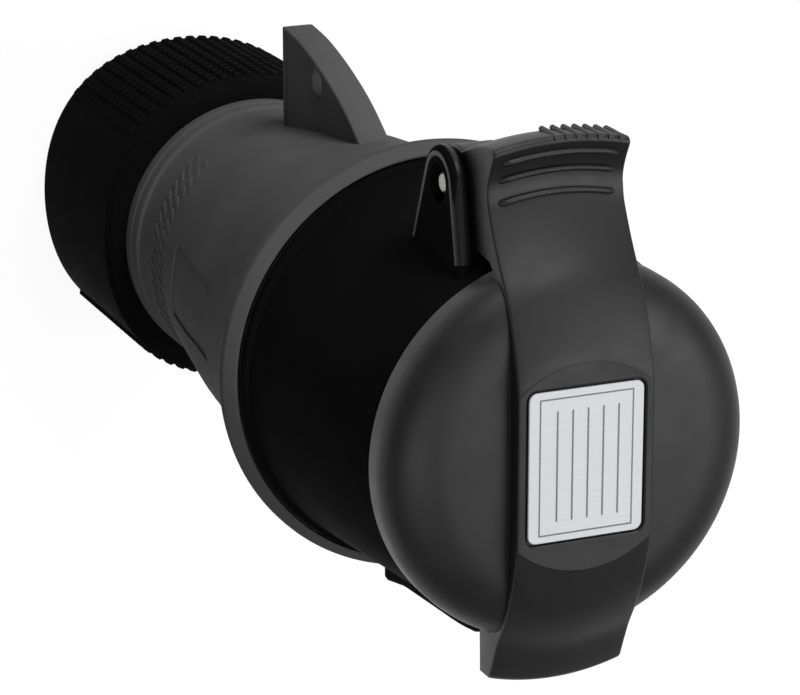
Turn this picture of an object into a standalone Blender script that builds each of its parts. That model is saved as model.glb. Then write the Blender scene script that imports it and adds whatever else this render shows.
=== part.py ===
"""Splash-proof industrial cable coupler with four contacts, standing on its cable nut.

Units are metres. Z is the coupler's axis, with the sprung lid on top and the nut on the floor.
The lid's hinge and the hanging lug are on the +Y side, the lid's opening tab on the -Y side.
Lengths below are written in millimetres and scaled once by MM. Heights are counted from a
plane inside the nut, and the last step puts the whole coupler on the floor.
"""
import bpy
import bmesh
import math
from mathutils import Matrix, Vector

MM = 0.001

# Clearances
GAP = 0.3
SLIDE_GAP = 0.5

# Grey rear housing: the nut's seat is the height that all others start from
NUT_SEAT_H = 35.9
BODY_R = 26.0
BODY_L = 89.5
NECK_LIP = 0.6
NECK_L = 6.4
FLANGE_T = 4.0
FLANGE_LIP = 2.6
REAR_WALL = 2.3
SPIGOT_R = 22.4
SPIGOT_WALL = 2.5
SPIGOT_L = 23.9

# The body's swell from neck to flange: run along it and growth in radius, stretched to the ends it meets
FLARE = [(0.0, 0.0), (11.5, 0.8), (19.5, 2.0), (27.5, 3.2), (35.5, 4.4), (43.5, 5.2),
         (51.5, 6.3), (59.5, 7.8), (67.5, 9.8), (73.5, 11.4), (76.5, 12.4)]
CAVITY = [(63.0, 8.3), (52.3, 6.3), (36.1, 4.4), (20.1, 2.0), (9.5, 0.6)]

# Hanging lug: its back edge out from the body and up from its foot
LUG_T = 6.0
LUG_UP = 24.5
LUG_REACH = 20.3
LUG_BACK = [(0.0, 0.6), (1.3, 9.2), (4.2, 19.1), (8.2, 28.7), (12.7, 36.2), (14.9, 39.2)]
LUG_ROOT = [(4.8, 35.6), (3.0, 19.6)]
LUG_HOLE_R = 3.1
LUG_HOLE_IN = 7.9
LUG_HOLE_UP = 14.6

# Cable nut
NUT_R = 30.7
NUT_CORNER = 0.5
NUT_KNURL = 0.7
NUT_STUDS = 14
NUT_ROWS = 7
NUT_SECTOR = 92.0
NUT_EXIT_R = 13.0
NUT_BASE_T = 7.2
NUT_ROOM = 11.8
CABLE_R = 7.0

# Black front housing
COLLAR_BORE_R = 28.0
COLLAR_L = 51.6
COLLAR_TAPER = 3.3
MOUTH_WALL = 2.3
MOUTH_STEP = 4.8
SOCKET_DEPTH = 43.5
FLOOR_T = 2.5
PLUG_SPIGOT_WALL = 3.0
PLUG_SPIGOT_L = 9.4
KEY_W = 22.0
KEY_RISE = 2.5
KEY_EDGE = 1.1
KEY_SLOT_W = 5.0
KEY_SLOT_DEPTH = 1.6

# Hinge
PIN_OUT = 10.4
PIN_DROP = 16.0
PIN_R = 2.3
BARREL_R = 6.0
EAR_T = 2.8
EAR_R = 6.2

# Lid
LID_SKIRT_T = 1.0
LID_WALL = 2.0
LID_SHOULDER_R = 21.0
LID_SHOULDER_RISE = 6.7
LID_CROWN_RISE = 0.6
STRAP_W = 24.0
STRAP_RISE = 9.8
FACET_R = 17.5

# The strap's face beyond its flat facet: run outwards and fall, stretched to the ends it meets
TAB_SWEEP = [(2.5, 0.7), (5.5, 1.8), (9.0, 3.5), (12.5, 5.6), (16.0, 7.6), (19.5, 9.0), (22.6, 9.9)]
LEVER_SWEEP = [(2.5, 0.7), (6.5, 2.6), (10.5, 4.9), (14.5, 7.2), (18.5, 9.4), (22.5, 11.2)]
LEVER_OUT = 10.3
TAB_OUT = 8.3
TAB_DROP = 1.5
RIB_INSETS = [3.4, 6.4, 10.0]
RIB_SPAN = 19.6

# Closing spring
WIRE_R = 0.45
SPRING_HALF = 4.3
TURNS = 5.5

# Rating plate
PLATE_EDGE = 1.9
PLATE_L = 25.4
PLATE_T = 0.45
PLATE_Y = 0.7
PLATE_CORNER = 1.4

# Contact carrier
SOCKET_GAP = 5.7
CARRIER_SINK = 5.0
CARRIER_FLANGE_T = 4.0
CARRIER_TAIL_L = 3.7
PITCH_R = 13.0
PHASE_ANGLES = [60.0, 150.0, -30.0]
EARTH_ANGLE = -120.0
PHASE_PIN_R = 2.5
EARTH_PIN_R = 3.5
SLEEVE_WALL = 1.1
SLEEVE_SINK = 3.0
SCREW_R = 1.4

# What follows from them: radii from the socket's bore outwards, then heights from the nut's seat
MOUTH_R = COLLAR_BORE_R + MOUTH_WALL
MOUTH_ROOT_R = MOUTH_R + 0.6
COLLAR_TOP_R = MOUTH_ROOT_R + 1.0
COLLAR_BASE_R = COLLAR_TOP_R + COLLAR_TAPER
RING_R = COLLAR_BASE_R + 1.1
PLUG_SPIGOT_R = RING_R - 2.1
PLUG_SPIGOT_BORE_R = PLUG_SPIGOT_R - PLUG_SPIGOT_WALL
FLANGE_R = RING_R + FLANGE_LIP
FLANGE_FACE_R = RING_R + 0.9
SPIGOT_BORE_R = SPIGOT_R - SPIGOT_WALL
SPIGOT_END_H = NUT_SEAT_H - SPIGOT_L
NUT_FRONT_H = NUT_SEAT_H - GAP
NUT_FLOOR_H = SPIGOT_END_H - NUT_ROOM
NUT_END_H = NUT_FLOOR_H - NUT_BASE_T
FLANGE_FRONT_H = NUT_SEAT_H + BODY_L
FLANGE_BACK_H = FLANGE_FRONT_H - FLANGE_T
PLUG_SPIGOT_END_H = FLANGE_FRONT_H - PLUG_SPIGOT_L
MOUTH_H = FLANGE_FRONT_H + COLLAR_L
MOUTH_ROOT_H = MOUTH_H - MOUTH_STEP
COLLAR_FLOOR_H = MOUTH_H - SOCKET_DEPTH
PIN_Y = COLLAR_TOP_R + PIN_OUT
PIN_H = MOUTH_H - PIN_DROP
LID_SKIRT_BORE_R = MOUTH_ROOT_R + SLIDE_GAP
LID_R = LID_SKIRT_BORE_R + LID_SKIRT_T
LID_RIM_H = MOUTH_ROOT_H + 0.8
LID_BASE_H = MOUTH_H - 1.0
LID_SEAT_H = MOUTH_H + 1.7
STRAP_FACE_H = LID_BASE_H + STRAP_RISE
LEVER_R = PIN_Y + LEVER_OUT
TAB_R = LID_R + TAB_OUT
TAB_BACK_H = LID_RIM_H - TAB_DROP
PLATE_W = STRAP_W - 2.0 * PLATE_EDGE
COIL_R = PIN_R + 1.1 + WIRE_R
CARRIER_R = COLLAR_BORE_R - SOCKET_GAP
CARRIER_FLANGE_R = PLUG_SPIGOT_BORE_R - 0.6
CARRIER_TAIL_R = PITCH_R + 7.0
CARRIER_FACE_H = MOUTH_H - CARRIER_SINK
CARRIER_FLANGE_H = COLLAR_FLOOR_H - FLOOR_T - GAP
CARRIER_TAIL_H = CARRIER_FLANGE_H - CARRIER_FLANGE_T - CARRIER_TAIL_L
SLEEVE_TOP_H = CARRIER_FACE_H - SLEEVE_SINK
SCREW_H = CARRIER_TAIL_H - 5.0
SLEEVE_END_H = SCREW_H - 6.0

# Cutters that only have to reach past everything
FAR = 300.0
SEGS = 56

for old in list(bpy.data.objects):
    bpy.data.objects.remove(old, do_unlink=True)

scene = bpy.context.scene


def material(name, color, rough, metal=0.0):
    """One plain Principled material."""
    mat = bpy.data.materials.new(name)
    mat.use_nodes = True
    shader = mat.node_tree.nodes["Principled BSDF"]
    shader.inputs["Base Color"].default_value = (*color, 1.0)
    shader.inputs["Roughness"].default_value = rough
    shader.inputs["Metallic"].default_value = metal
    mat.diffuse_color = (*color, 1.0)
    return mat


def finish_mesh(bm, name):
    """Faces outward, then a mesh object in metres."""
    bmesh.ops.remove_doubles(bm, verts=bm.verts, dist=1e-5)
    bmesh.ops.recalc_face_normals(bm, faces=bm.faces)
    if bm.calc_volume(signed=True) < 0:
        bmesh.ops.reverse_faces(bm, faces=bm.faces)
    bm.transform(Matrix.Scale(MM, 4))
    mesh = bpy.data.meshes.new(name)
    bm.to_mesh(mesh)
    bm.free()
    obj = bpy.data.objects.new(name, mesh)
    scene.collection.objects.link(obj)
    return obj


def revolve(name, profile, segs=SEGS):
    """Closed outline of (radius, height) points turned about Z."""
    bm = bmesh.new()
    rings = []
    for radius, height in profile:
        if radius < 1e-6:
            rings.append([bm.verts.new((0.0, 0.0, height))])
            continue
        ring = []
        for i in range(segs):
            a = 2.0 * math.pi * (i + 0.5) / segs
            ring.append(bm.verts.new((radius * math.cos(a), radius * math.sin(a), height)))
        rings.append(ring)
    for k in range(len(rings)):
        lower = rings[k]
        upper = rings[(k + 1) % len(rings)]
        if len(lower) == 1 and len(upper) == 1:
            continue
        for i in range(segs):
            j = (i + 1) % segs
            if len(lower) == 1:
                bm.faces.new((lower[0], upper[j], upper[i]))
            elif len(upper) == 1:
                bm.faces.new((lower[i], lower[j], upper[0]))
            else:
                bm.faces.new((lower[i], lower[j], upper[j], upper[i]))
    return finish_mesh(bm, name)


def prism_x(name, outline, x0, x1):
    """Closed outline of (y, height) points pushed along X."""
    bm = bmesh.new()
    left = [bm.verts.new((x0, y, h)) for y, h in outline]
    right = [bm.verts.new((x1, y, h)) for y, h in outline]
    count = len(outline)
    bm.faces.new(left)
    bm.faces.new(list(reversed(right)))
    for i in range(count):
        j = (i + 1) % count
        bm.faces.new((left[i], right[i], right[j], left[j]))
    return finish_mesh(bm, name)


def prism_z(name, outline, h0, h1):
    """Closed outline of (x, y) points pushed along Z."""
    bm = bmesh.new()
    low = [bm.verts.new((x, y, h0)) for x, y in outline]
    high = [bm.verts.new((x, y, h1)) for x, y in outline]
    count = len(outline)
    bm.faces.new(low)
    bm.faces.new(list(reversed(high)))
    for i in range(count):
        j = (i + 1) % count
        bm.faces.new((low[i], high[i], high[j], low[j]))
    return finish_mesh(bm, name)


def box(name, x0, x1, y0, y1, h0, h1):
    return prism_z(name, [(x0, y0), (x1, y0), (x1, y1), (x0, y1)], h0, h1)


def rod(name, start, end, radius, segs=24):
    """Round rod between two points."""
    a = Vector(start)
    b = Vector(end)
    bm = bmesh.new()
    turn = (b - a).to_track_quat("Z", "Y").to_matrix().to_4x4()
    place = Matrix.Translation((a + b) / 2.0) @ turn
    bmesh.ops.create_cone(bm, cap_ends=True, segments=segs, radius1=radius, radius2=radius,
                          depth=(b - a).length, matrix=place)
    return finish_mesh(bm, name)


def combine(target, tool, operation):
    """Bakes one exact Boolean into the target and drops the tool."""
    mod = target.modifiers.new("cut", "BOOLEAN")
    mod.operation = operation
    mod.solver = "EXACT"
    mod.object = tool
    bpy.context.view_layer.update()
    graph = bpy.context.evaluated_depsgraph_get()
    baked = bpy.data.meshes.new_from_object(target.evaluated_get(graph))
    target.modifiers.clear()
    old = target.data
    target.data = baked
    baked.name = target.name
    bpy.data.meshes.remove(old)
    tool_mesh = tool.data
    bpy.data.objects.remove(tool, do_unlink=True)
    bpy.data.meshes.remove(tool_mesh)


def cut(target, *tools):
    for tool in tools:
        combine(target, tool, "DIFFERENCE")


def join(target, *tools):
    for tool in tools:
        combine(target, tool, "UNION")


def keep(target, tool):
    combine(target, tool, "INTERSECT")


def dress(obj, mat, pivot=None, smooth=True):
    """Material, shading and the origin on the joint's axis."""
    bm = bmesh.new()
    bm.from_mesh(obj.data)
    bmesh.ops.remove_doubles(bm, verts=bm.verts, dist=2e-6)
    bmesh.ops.dissolve_degenerate(bm, edges=bm.edges, dist=1e-6)
    bm.to_mesh(obj.data)
    bm.free()
    obj.data.materials.clear()
    obj.data.materials.append(mat)
    if smooth:
        obj.data.shade_smooth()
        obj.data.set_sharp_from_angle(angle=math.radians(32.0))
    if pivot is not None:
        shift = Vector(pivot) * MM
        obj.data.transform(Matrix.Translation(-shift))
        obj.location = shift
    return obj


def arc(cy, ch, radius, start, end, steps):
    """Points on a circle in the (y, height) plane."""
    out = []
    for i in range(steps + 1):
        a = math.radians(start + (end - start) * i / steps)
        out.append((cy + radius * math.cos(a), ch + radius * math.sin(a)))
    return out


GREY = (0.055, 0.057, 0.056)
BLACK = (0.011, 0.011, 0.011)
grey_mat = material("grey_housing", GREY, 0.42)
black_mat = material("black_housing", BLACK, 0.38)

# Rear housing: neck ring, body, flared flange and inner cavity
FLARE_START_H = NUT_SEAT_H + NECK_L + 2.2
FLARE_END_H = FLANGE_BACK_H - 0.4
FLARE_END_R = FLANGE_R - 0.5


def flare(run, growth):
    """A point of the flare, stretched to the body's length and to the flange's edge."""
    full_run, full_growth = FLARE[-1]
    return (BODY_R + (FLARE_END_R - BODY_R) * growth / full_growth,
            FLARE_START_H + (FLARE_END_H - FLARE_START_H) * run / full_run)


def cavity(run, growth):
    """The cavity's wall at such a point."""
    radius, height = flare(run, growth)
    return (radius - REAR_WALL, height)


rear_profile = [
    (SPIGOT_BORE_R, SPIGOT_END_H),
    (SPIGOT_R, SPIGOT_END_H),
    (SPIGOT_R, NUT_SEAT_H),
    (BODY_R + NECK_LIP, NUT_SEAT_H),
    (BODY_R + NECK_LIP, NUT_SEAT_H + NECK_L),
    (BODY_R + 0.1, NUT_SEAT_H + NECK_L + 0.6),
] + [flare(run, growth) for run, growth in FLARE] + [
    (FLANGE_R, FLANGE_BACK_H + 0.3),
    (FLANGE_R, FLANGE_FRONT_H - 2.2),
    (FLANGE_FACE_R + 0.6, FLANGE_FRONT_H - 0.3),
    (FLANGE_FACE_R, FLANGE_FRONT_H),
    (RING_R + SLIDE_GAP, FLANGE_FRONT_H),
    (RING_R + SLIDE_GAP, FLANGE_FRONT_H - 1.5),
    (PLUG_SPIGOT_R + GAP, FLANGE_FRONT_H - 1.5),
    (PLUG_SPIGOT_R + GAP, PLUG_SPIGOT_END_H - GAP),
] + [cavity(run, growth) for run, growth in CAVITY] + [
    (BODY_R - REAR_WALL, NUT_SEAT_H + NECK_L + 4.7),
    (SPIGOT_BORE_R, NUT_SEAT_H + NECK_L + 2.7),
]
rear = revolve("rear_housing", rear_profile)
LUG_LOW_H = NUT_SEAT_H + LUG_UP
LUG_END_Y = BODY_R + LUG_REACH
lug_outline = [(BODY_R + 0.4, LUG_LOW_H), (LUG_END_Y - 0.9, LUG_LOW_H)]
lug_outline += [(LUG_END_Y - inward, LUG_LOW_H + up) for inward, up in LUG_BACK]
lug_outline += [(BODY_R + out, LUG_LOW_H + up) for out, up in LUG_ROOT]
lug = prism_x("lug", lug_outline, -LUG_T / 2.0, LUG_T / 2.0)
join(rear, lug)
LUG_HOLE_Y = LUG_END_Y - LUG_HOLE_IN
LUG_HOLE_H = LUG_LOW_H + LUG_HOLE_UP
cut(rear, rod("lug_hole", (-LUG_T, LUG_HOLE_Y, LUG_HOLE_H), (LUG_T, LUG_HOLE_Y, LUG_HOLE_H), LUG_HOLE_R))
dress(rear, grey_mat)


# Cable nut: rounded square with raised studs on its top and bottom sectors
def nut_radius(angle):
    return NUT_R + NUT_CORNER * math.cos(4.0 * (angle - math.radians(45.0)))


knurl_low = NUT_END_H + 2.4
knurl_high = NUT_FRONT_H - 2.8
row_pitch = (knurl_high - knurl_low) / NUT_ROWS
columns = []
for centre in (90.0, 270.0):
    start = centre - NUT_SECTOR / 2.0
    step = NUT_SECTOR / NUT_STUDS
    for i in range(NUT_STUDS):
        columns.append((start + i * step, 0))
        columns.append((start + (i + 0.25) * step, 1))
        columns.append((start + (i + 0.75) * step, 1))
    columns.append((start + NUT_SECTOR, 0))
    plain = 180.0 - NUT_SECTOR
    for i in range(1, 8):
        columns.append((start + NUT_SECTOR + plain * i / 8.0, 0))
rows = [(NUT_END_H, -1.4, 0), (NUT_END_H + 1.0, -0.3, 0), (knurl_low, 0.0, 0)]
for i in range(NUT_ROWS):
    rows.append((knurl_low + (i + 0.25) * row_pitch, 0.0, 1))
    rows.append((knurl_low + (i + 0.75) * row_pitch, 0.0, 1))
    rows.append((knurl_low + (i + 1.0) * row_pitch, 0.0, 0))
rows.append((NUT_FRONT_H - 1.0, -0.3, 0))
rows.append((NUT_FRONT_H, -1.2, 0))
bm = bmesh.new()
grid = []
for height, offset, row_up in rows:
    ring = []
    for degrees, column_up in columns:
        a = math.radians(degrees)
        radius = nut_radius(a) + offset + (NUT_KNURL if row_up and column_up else 0.0)
        ring.append(bm.verts.new((radius * math.cos(a), radius * math.sin(a), height)))
    grid.append(ring)
for k in range(len(grid) - 1):
    for i in range(len(columns)):
        j = (i + 1) % len(columns)
        bm.faces.new((grid[k][i], grid[k][j], grid[k + 1][j], grid[k + 1][i]))
bm.faces.new(list(reversed(grid[0])))
bm.faces.new(grid[-1])
nut = finish_mesh(bm, "cable_nut")
NUT_THREAD_R = SPIGOT_R + SLIDE_GAP
nut_bore = revolve("nut_bore", [
    (0.0, NUT_END_H - 1.0),
    (NUT_EXIT_R + 4.5, NUT_END_H - 1.0),
    (NUT_EXIT_R + 4.0, NUT_END_H),
    (NUT_EXIT_R, NUT_END_H + 3.8),
    (NUT_EXIT_R, NUT_FLOOR_H),
    (NUT_THREAD_R, NUT_FLOOR_H),
    (NUT_THREAD_R, NUT_FRONT_H + 1.0),
    (0.0, NUT_FRONT_H + 1.0),
], 48)
cut(nut, nut_bore)
dress(nut, material("cable_nut", BLACK, 0.55))

# Thrust ring that the nut pushes against the clamp
thrust = revolve("thrust_ring", [
    (NUT_EXIT_R + 0.6, NUT_FLOOR_H + GAP),
    (SPIGOT_R - 0.6, NUT_FLOOR_H + GAP),
    (SPIGOT_R - 0.6, NUT_FLOOR_H + 4.0),
    (SPIGOT_R - 3.6, NUT_FLOOR_H + 7.0),
    (NUT_EXIT_R + 0.6, NUT_FLOOR_H + 7.0),
], 40)
dress(thrust, material("thrust_ring", (0.12, 0.12, 0.12), 0.5))

# Clamp cage: a ring with fingers that closes on the cable
CAGE_R = SPIGOT_BORE_R - GAP
CAGE_LOW_H = SPIGOT_END_H + 1.5
CAGE_TOP_H = NUT_SEAT_H + 7.1
CAGE_WALL = 2.4
cage = revolve("clamp_cage", [
    (CAGE_R - CAGE_WALL - 3.0, CAGE_LOW_H),
    (CAGE_R - 2.2, CAGE_LOW_H),
    (CAGE_R, CAGE_LOW_H + 3.5),
    (CAGE_R, CAGE_TOP_H),
    (CAGE_R - CAGE_WALL, CAGE_TOP_H),
    (CAGE_R - CAGE_WALL, CAGE_LOW_H + 4.7),
], 40)
for i in range(4):
    a = math.radians(22.5 + 45.0 * i)
    slot = box("slot", -CAGE_R - 10.0, CAGE_R + 10.0, -0.7, 0.7, CAGE_LOW_H - 5.0, CAGE_TOP_H - 11.0)
    slot.data.transform(Matrix.Rotation(a, 4, "Z"))
    cut(cage, slot)
dress(cage, material("clamp_cage", (0.5, 0.5, 0.48), 0.5))

# Rubber bush that seals on the cable
SEAL_R = CAGE_R - CAGE_WALL - GAP
SEAL_LOW_H = CAGE_LOW_H + 6.0
SEAL_TOP_H = CAGE_TOP_H - 0.4
seal = revolve("cable_seal", [
    (CABLE_R + 0.4, SEAL_LOW_H),
    (SEAL_R - 1.0, SEAL_LOW_H),
    (SEAL_R, SEAL_LOW_H + 1.0),
    (SEAL_R, SEAL_TOP_H),
    (CABLE_R + 2.6, SEAL_TOP_H),
    (CABLE_R, SEAL_TOP_H - 4.6),
    (CABLE_R, SEAL_LOW_H + 2.5),
], 40)
dress(seal, material("cable_seal", (0.02, 0.02, 0.02), 0.8))

# Front housing: collar, spigot, key rib and hinge ears
front_profile = [
    (PLUG_SPIGOT_BORE_R, PLUG_SPIGOT_END_H),
    (PLUG_SPIGOT_R, PLUG_SPIGOT_END_H),
    (PLUG_SPIGOT_R, FLANGE_FRONT_H - 0.1),
    (RING_R, FLANGE_FRONT_H - 0.1),
    (RING_R, FLANGE_FRONT_H + 1.4),
    (RING_R - 0.4, FLANGE_FRONT_H + 2.0),
    (COLLAR_BASE_R + 0.2, FLANGE_FRONT_H + 2.2),
    (COLLAR_BASE_R, FLANGE_FRONT_H + 3.0),
    (COLLAR_TOP_R, MOUTH_ROOT_H - 0.6),
    (COLLAR_TOP_R - 0.5, MOUTH_ROOT_H),
    (MOUTH_ROOT_R, MOUTH_ROOT_H),
    (MOUTH_R, MOUTH_H - 0.4),
    (MOUTH_R - 0.4, MOUTH_H),
    (COLLAR_BORE_R + 0.4, MOUTH_H),
    (COLLAR_BORE_R, MOUTH_H - 0.6),
    (COLLAR_BORE_R, COLLAR_FLOOR_H),
    (CARRIER_R + 0.4, COLLAR_FLOOR_H),
    (CARRIER_R + 0.4, COLLAR_FLOOR_H - FLOOR_T),
    (PLUG_SPIGOT_BORE_R, COLLAR_FLOOR_H - FLOOR_T),
]
front = revolve("front_housing", front_profile)


PAD_ROOT_Y = -COLLAR_BORE_R - 2.0
PAD_LOW_Y = -PLUG_SPIGOT_BORE_R - 1.0
PAD_BEND_H = FLANGE_FRONT_H + 15.6
PAD_CREST_H = MOUTH_H - 11.0
key_outline = [
    (PAD_ROOT_Y, COLLAR_FLOOR_H),
    (PAD_LOW_Y, COLLAR_FLOOR_H - 2.0),
    (PAD_LOW_Y, FLANGE_FRONT_H + 2.5),
    (-COLLAR_BASE_R - KEY_RISE - 0.5, FLANGE_FRONT_H + 2.5),
    (-COLLAR_BASE_R - KEY_RISE - 0.9, FLANGE_FRONT_H + 3.8),
    (-COLLAR_BASE_R - KEY_RISE + 0.6, FLANGE_FRONT_H + 11.1),
    (-COLLAR_BASE_R - KEY_RISE + 1.0, PAD_BEND_H),
    (-COLLAR_BASE_R - KEY_RISE + 1.7, PAD_BEND_H + 0.36 * (PAD_CREST_H - PAD_BEND_H)),
    (-COLLAR_TOP_R - KEY_RISE + 0.1, PAD_CREST_H),
    (-COLLAR_TOP_R - KEY_RISE + 1.1, MOUTH_H - 8.4),
    (-COLLAR_TOP_R - KEY_RISE + 2.0, MOUTH_H - 7.4),
    (PAD_ROOT_Y, MOUTH_H - 7.2),
]
key_pad = prism_x("key_pad", key_outline, -KEY_W / 2.0, KEY_W / 2.0)
bm = bmesh.new()
bm.from_mesh(key_pad.data)
rim = []
for edge in bm.edges:
    first, second = edge.verts
    if abs(first.co.x - second.co.x) < 1e-7 and max(first.co.y, second.co.y) < (PAD_LOW_Y + 0.2) * MM:
        rim.append(edge)
bmesh.ops.bevel(bm, geom=rim, offset=KEY_EDGE * MM, segments=2, profile=0.5, affect="EDGES")
bm.to_mesh(key_pad.data)
bm.free()
join(front, key_pad)
EAR_IN = STRAP_W / 2.0 + 0.4
ear_outline = [(COLLAR_BORE_R, PIN_H + 8.6), (COLLAR_BORE_R + 2.2, PIN_H + 8.2)]
ear_outline += arc(PIN_Y, PIN_H, EAR_R, 70.0, -62.0, 12)
ear_outline += [(COLLAR_BORE_R + 2.8, PIN_H - 11.6), (COLLAR_BORE_R, PIN_H - 12.4)]
for side in (-1.0, 1.0):
    x0 = min(side * EAR_IN, side * (EAR_IN + EAR_T))
    join(front, prism_x("ear", ear_outline, x0, x0 + EAR_T))
cut(front, rod("pin_bore", (-STRAP_W, PIN_Y, PIN_H), (STRAP_W, PIN_Y, PIN_H), PIN_R + GAP))
cut(front, box("key_slot", -KEY_SLOT_W / 2.0, KEY_SLOT_W / 2.0, -COLLAR_BORE_R - KEY_SLOT_DEPTH, -CARRIER_R,
               COLLAR_FLOOR_H + 2.0, MOUTH_H + 5.0))
FIXING_X = CARRIER_FLANGE_R - 3.7
FIXING_END_H = COLLAR_FLOOR_H - 0.5
for side in (1.0, -1.0):
    x = side * FIXING_X
    cut(front, rod("boss", (x, 0.0, COLLAR_FLOOR_H - FLOOR_T - 1.0), (x, 0.0, FIXING_END_H), 1.5, 16))
dress(front, black_mat)

# Seal between the two housings
ring_seal = revolve("housing_seal", [
    (PLUG_SPIGOT_R + 0.7, FLANGE_FRONT_H - 1.2),
    (RING_R, FLANGE_FRONT_H - 1.2),
    (RING_R, FLANGE_FRONT_H - 0.4),
    (PLUG_SPIGOT_R + 0.7, FLANGE_FRONT_H - 0.4),
], 56)
dress(ring_seal, material("housing_seal", (0.015, 0.015, 0.015), 0.8))

# Hinge pin along X
pin_end = EAR_IN + EAR_T + 0.15
pin = rod("hinge_pin", (-pin_end, PIN_Y, PIN_H), (pin_end, PIN_Y, PIN_H), PIN_R, 24)
dress(pin, material("hinge_pin", (0.62, 0.62, 0.6), 0.25, 1.0))


# Lid: dome, strap, thumb lever, tab and barrel
def dome_height(radius, drop=0.0):
    """Outer height of the lid at a radius: a rounded shoulder under a shallow crown."""
    if radius > LID_SHOULDER_R:
        part = (radius - LID_SHOULDER_R) / (LID_R - LID_SHOULDER_R)
        return LID_BASE_H - drop + LID_SHOULDER_RISE * math.sqrt(max(0.0, 1.0 - part * part))
    part = radius / LID_SHOULDER_R
    return LID_BASE_H - drop + LID_SHOULDER_RISE + LID_CROWN_RISE * (1.0 - part * part)


GASKET_IN_R = COLLAR_BORE_R - 1.0
GASKET_OUT_R = MOUTH_R + 0.1
dome_steps = [LID_R - inward for inward in (0.2, 0.6, 1.4, 2.6, 4.4, 6.8, 9.4, 12.4, 18.4, 25.4)]
lid_profile = [(LID_SKIRT_BORE_R, LID_RIM_H), (LID_R - 0.2, LID_RIM_H)]
lid_profile += [(LID_R, LID_RIM_H + 0.4), (LID_R, LID_BASE_H)]
lid_profile += [(r, dome_height(r)) for r in dome_steps]
lid_profile += [(0.0, dome_height(0.0)), (0.0, dome_height(0.0, LID_WALL))]
lid_profile += [(LID_R - inward, dome_height(LID_R - inward, LID_WALL)) for inward in (18.4, 11.4, 7.4)]
lid_profile += [(GASKET_IN_R - 0.4, LID_SEAT_H), (LID_SKIRT_BORE_R - 0.4, LID_SEAT_H)]
lid_profile.append((LID_SKIRT_BORE_R, MOUTH_H + 0.2))
lid = revolve("lid", lid_profile)


def sweep(points, end):
    """The strap's face from the facet's edge out to its end, in the proportions of the points."""
    run, fall = points[-1]
    out = []
    for along, down in points:
        radius = FACET_R + (end[0] - FACET_R) * along / run
        out.append((radius, STRAP_FACE_H - (STRAP_FACE_H - end[1]) * down / fall))
    return out


DOME_EDGE_H = LID_BASE_H + LID_SHOULDER_RISE
under_strap = [(LID_R - inward, DOME_EDGE_H - drop)
               for inward, drop in ((0.5, 7.1), (0.9, 4.7), (3.0, 2.7), (6.4, 1.5), (12.4, 0.9))]
under_strap.append((0.0, DOME_EDGE_H - 0.3))
half = STRAP_W / 2.0
lower_strap = revolve("strap_low", [
    (0.0, STRAP_FACE_H),
    (FACET_R, STRAP_FACE_H),
] + sweep(TAB_SWEEP, (TAB_R - 0.6, LID_BASE_H - 0.1)) + [
    (TAB_R, LID_BASE_H - 0.8),
    (TAB_R, TAB_BACK_H + 0.5),
    (TAB_R - 0.5, TAB_BACK_H),
    (LID_R + 0.5, TAB_BACK_H),
    (LID_R + 0.5, LID_BASE_H - 0.4),
] + under_strap)
keep(lower_strap, box("side", -half, half, -FAR, 0.0, 0.0, FAR))
upper_strap = revolve("strap_high", [
    (0.0, STRAP_FACE_H),
    (FACET_R, STRAP_FACE_H),
] + sweep(LEVER_SWEEP, (LEVER_R - 12.6, PIN_H + 13.6)) + [
    (LEVER_R - 8.6, PIN_H + 12.6),
    (LEVER_R - 5.6, PIN_H + 12.6),
    (LEVER_R - 3.0, PIN_H + 13.5),
    (LEVER_R - 1.2, PIN_H + 14.3),
    (LEVER_R - 0.3, PIN_H + 14.0),
    (LEVER_R, PIN_H + 12.8),
    (LEVER_R - 0.2, PIN_H + 10.5),
    (LEVER_R - 1.0, PIN_H + 7.0),
    (LEVER_R - 2.4, PIN_H + 3.4),
    (PIN_Y + BARREL_R, PIN_H),
    (PIN_Y - 5.7, PIN_H),
    (PIN_Y - 6.3, PIN_H + 3.0),
    (LID_R + 2.5, LID_RIM_H - 3.0),
    (LID_R + 2.1, LID_BASE_H - 1.8),
    (LID_R + 1.0, LID_BASE_H - 0.4),
] + under_strap)
keep(upper_strap, box("side", -half, half, 0.0, FAR, 0.0, FAR))
for inset in RIB_INSETS:
    radius = LEVER_R - inset
    base = PIN_H + 12.0 + 0.12 * max(0.0, radius - LEVER_R + 6.6)
    rib = revolve("rib", [(radius - 0.7, base), (radius + 0.7, base), (radius + 0.5, base + 1.5),
                          (radius - 0.5, base + 1.5)])
    keep(rib, box("side", -RIB_SPAN / 2.0, RIB_SPAN / 2.0, 0.0, FAR, 0.0, FAR))
    join(upper_strap, rib)
join(lid, lower_strap, upper_strap)
join(lid, rod("barrel", (-half, PIN_Y, PIN_H), (half, PIN_Y, PIN_H), BARREL_R, 32))
cut(lid, rod("pin_bore", (-STRAP_W, PIN_Y, PIN_H), (STRAP_W, PIN_Y, PIN_H), PIN_R + GAP))
POCKET = SPRING_HALF + 2.0 * WIRE_R
POCKET_TOP_H = PIN_H + COIL_R + 3.0 * WIRE_R
cut(lid, box("pocket", -POCKET, POCKET, LID_R - 2.4, LEVER_R + 5.0, PIN_H - BARREL_R - 5.0, POCKET_TOP_H))


def rounded(width, length, corner, cy, grow):
    """Rounded rectangle about (0, cy)."""
    out = []
    w = width / 2.0 + grow
    l = length / 2.0 + grow
    c = corner + grow
    for sx, sy, start in ((1, 1, 0), (-1, 1, 90), (-1, -1, 180), (1, -1, 270)):
        for i in range(5):
            a = math.radians(start + 22.5 * i)
            out.append((sx * (w - c) + c * math.cos(a), cy + sy * (l - c) + c * math.sin(a)))
    return out


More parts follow.
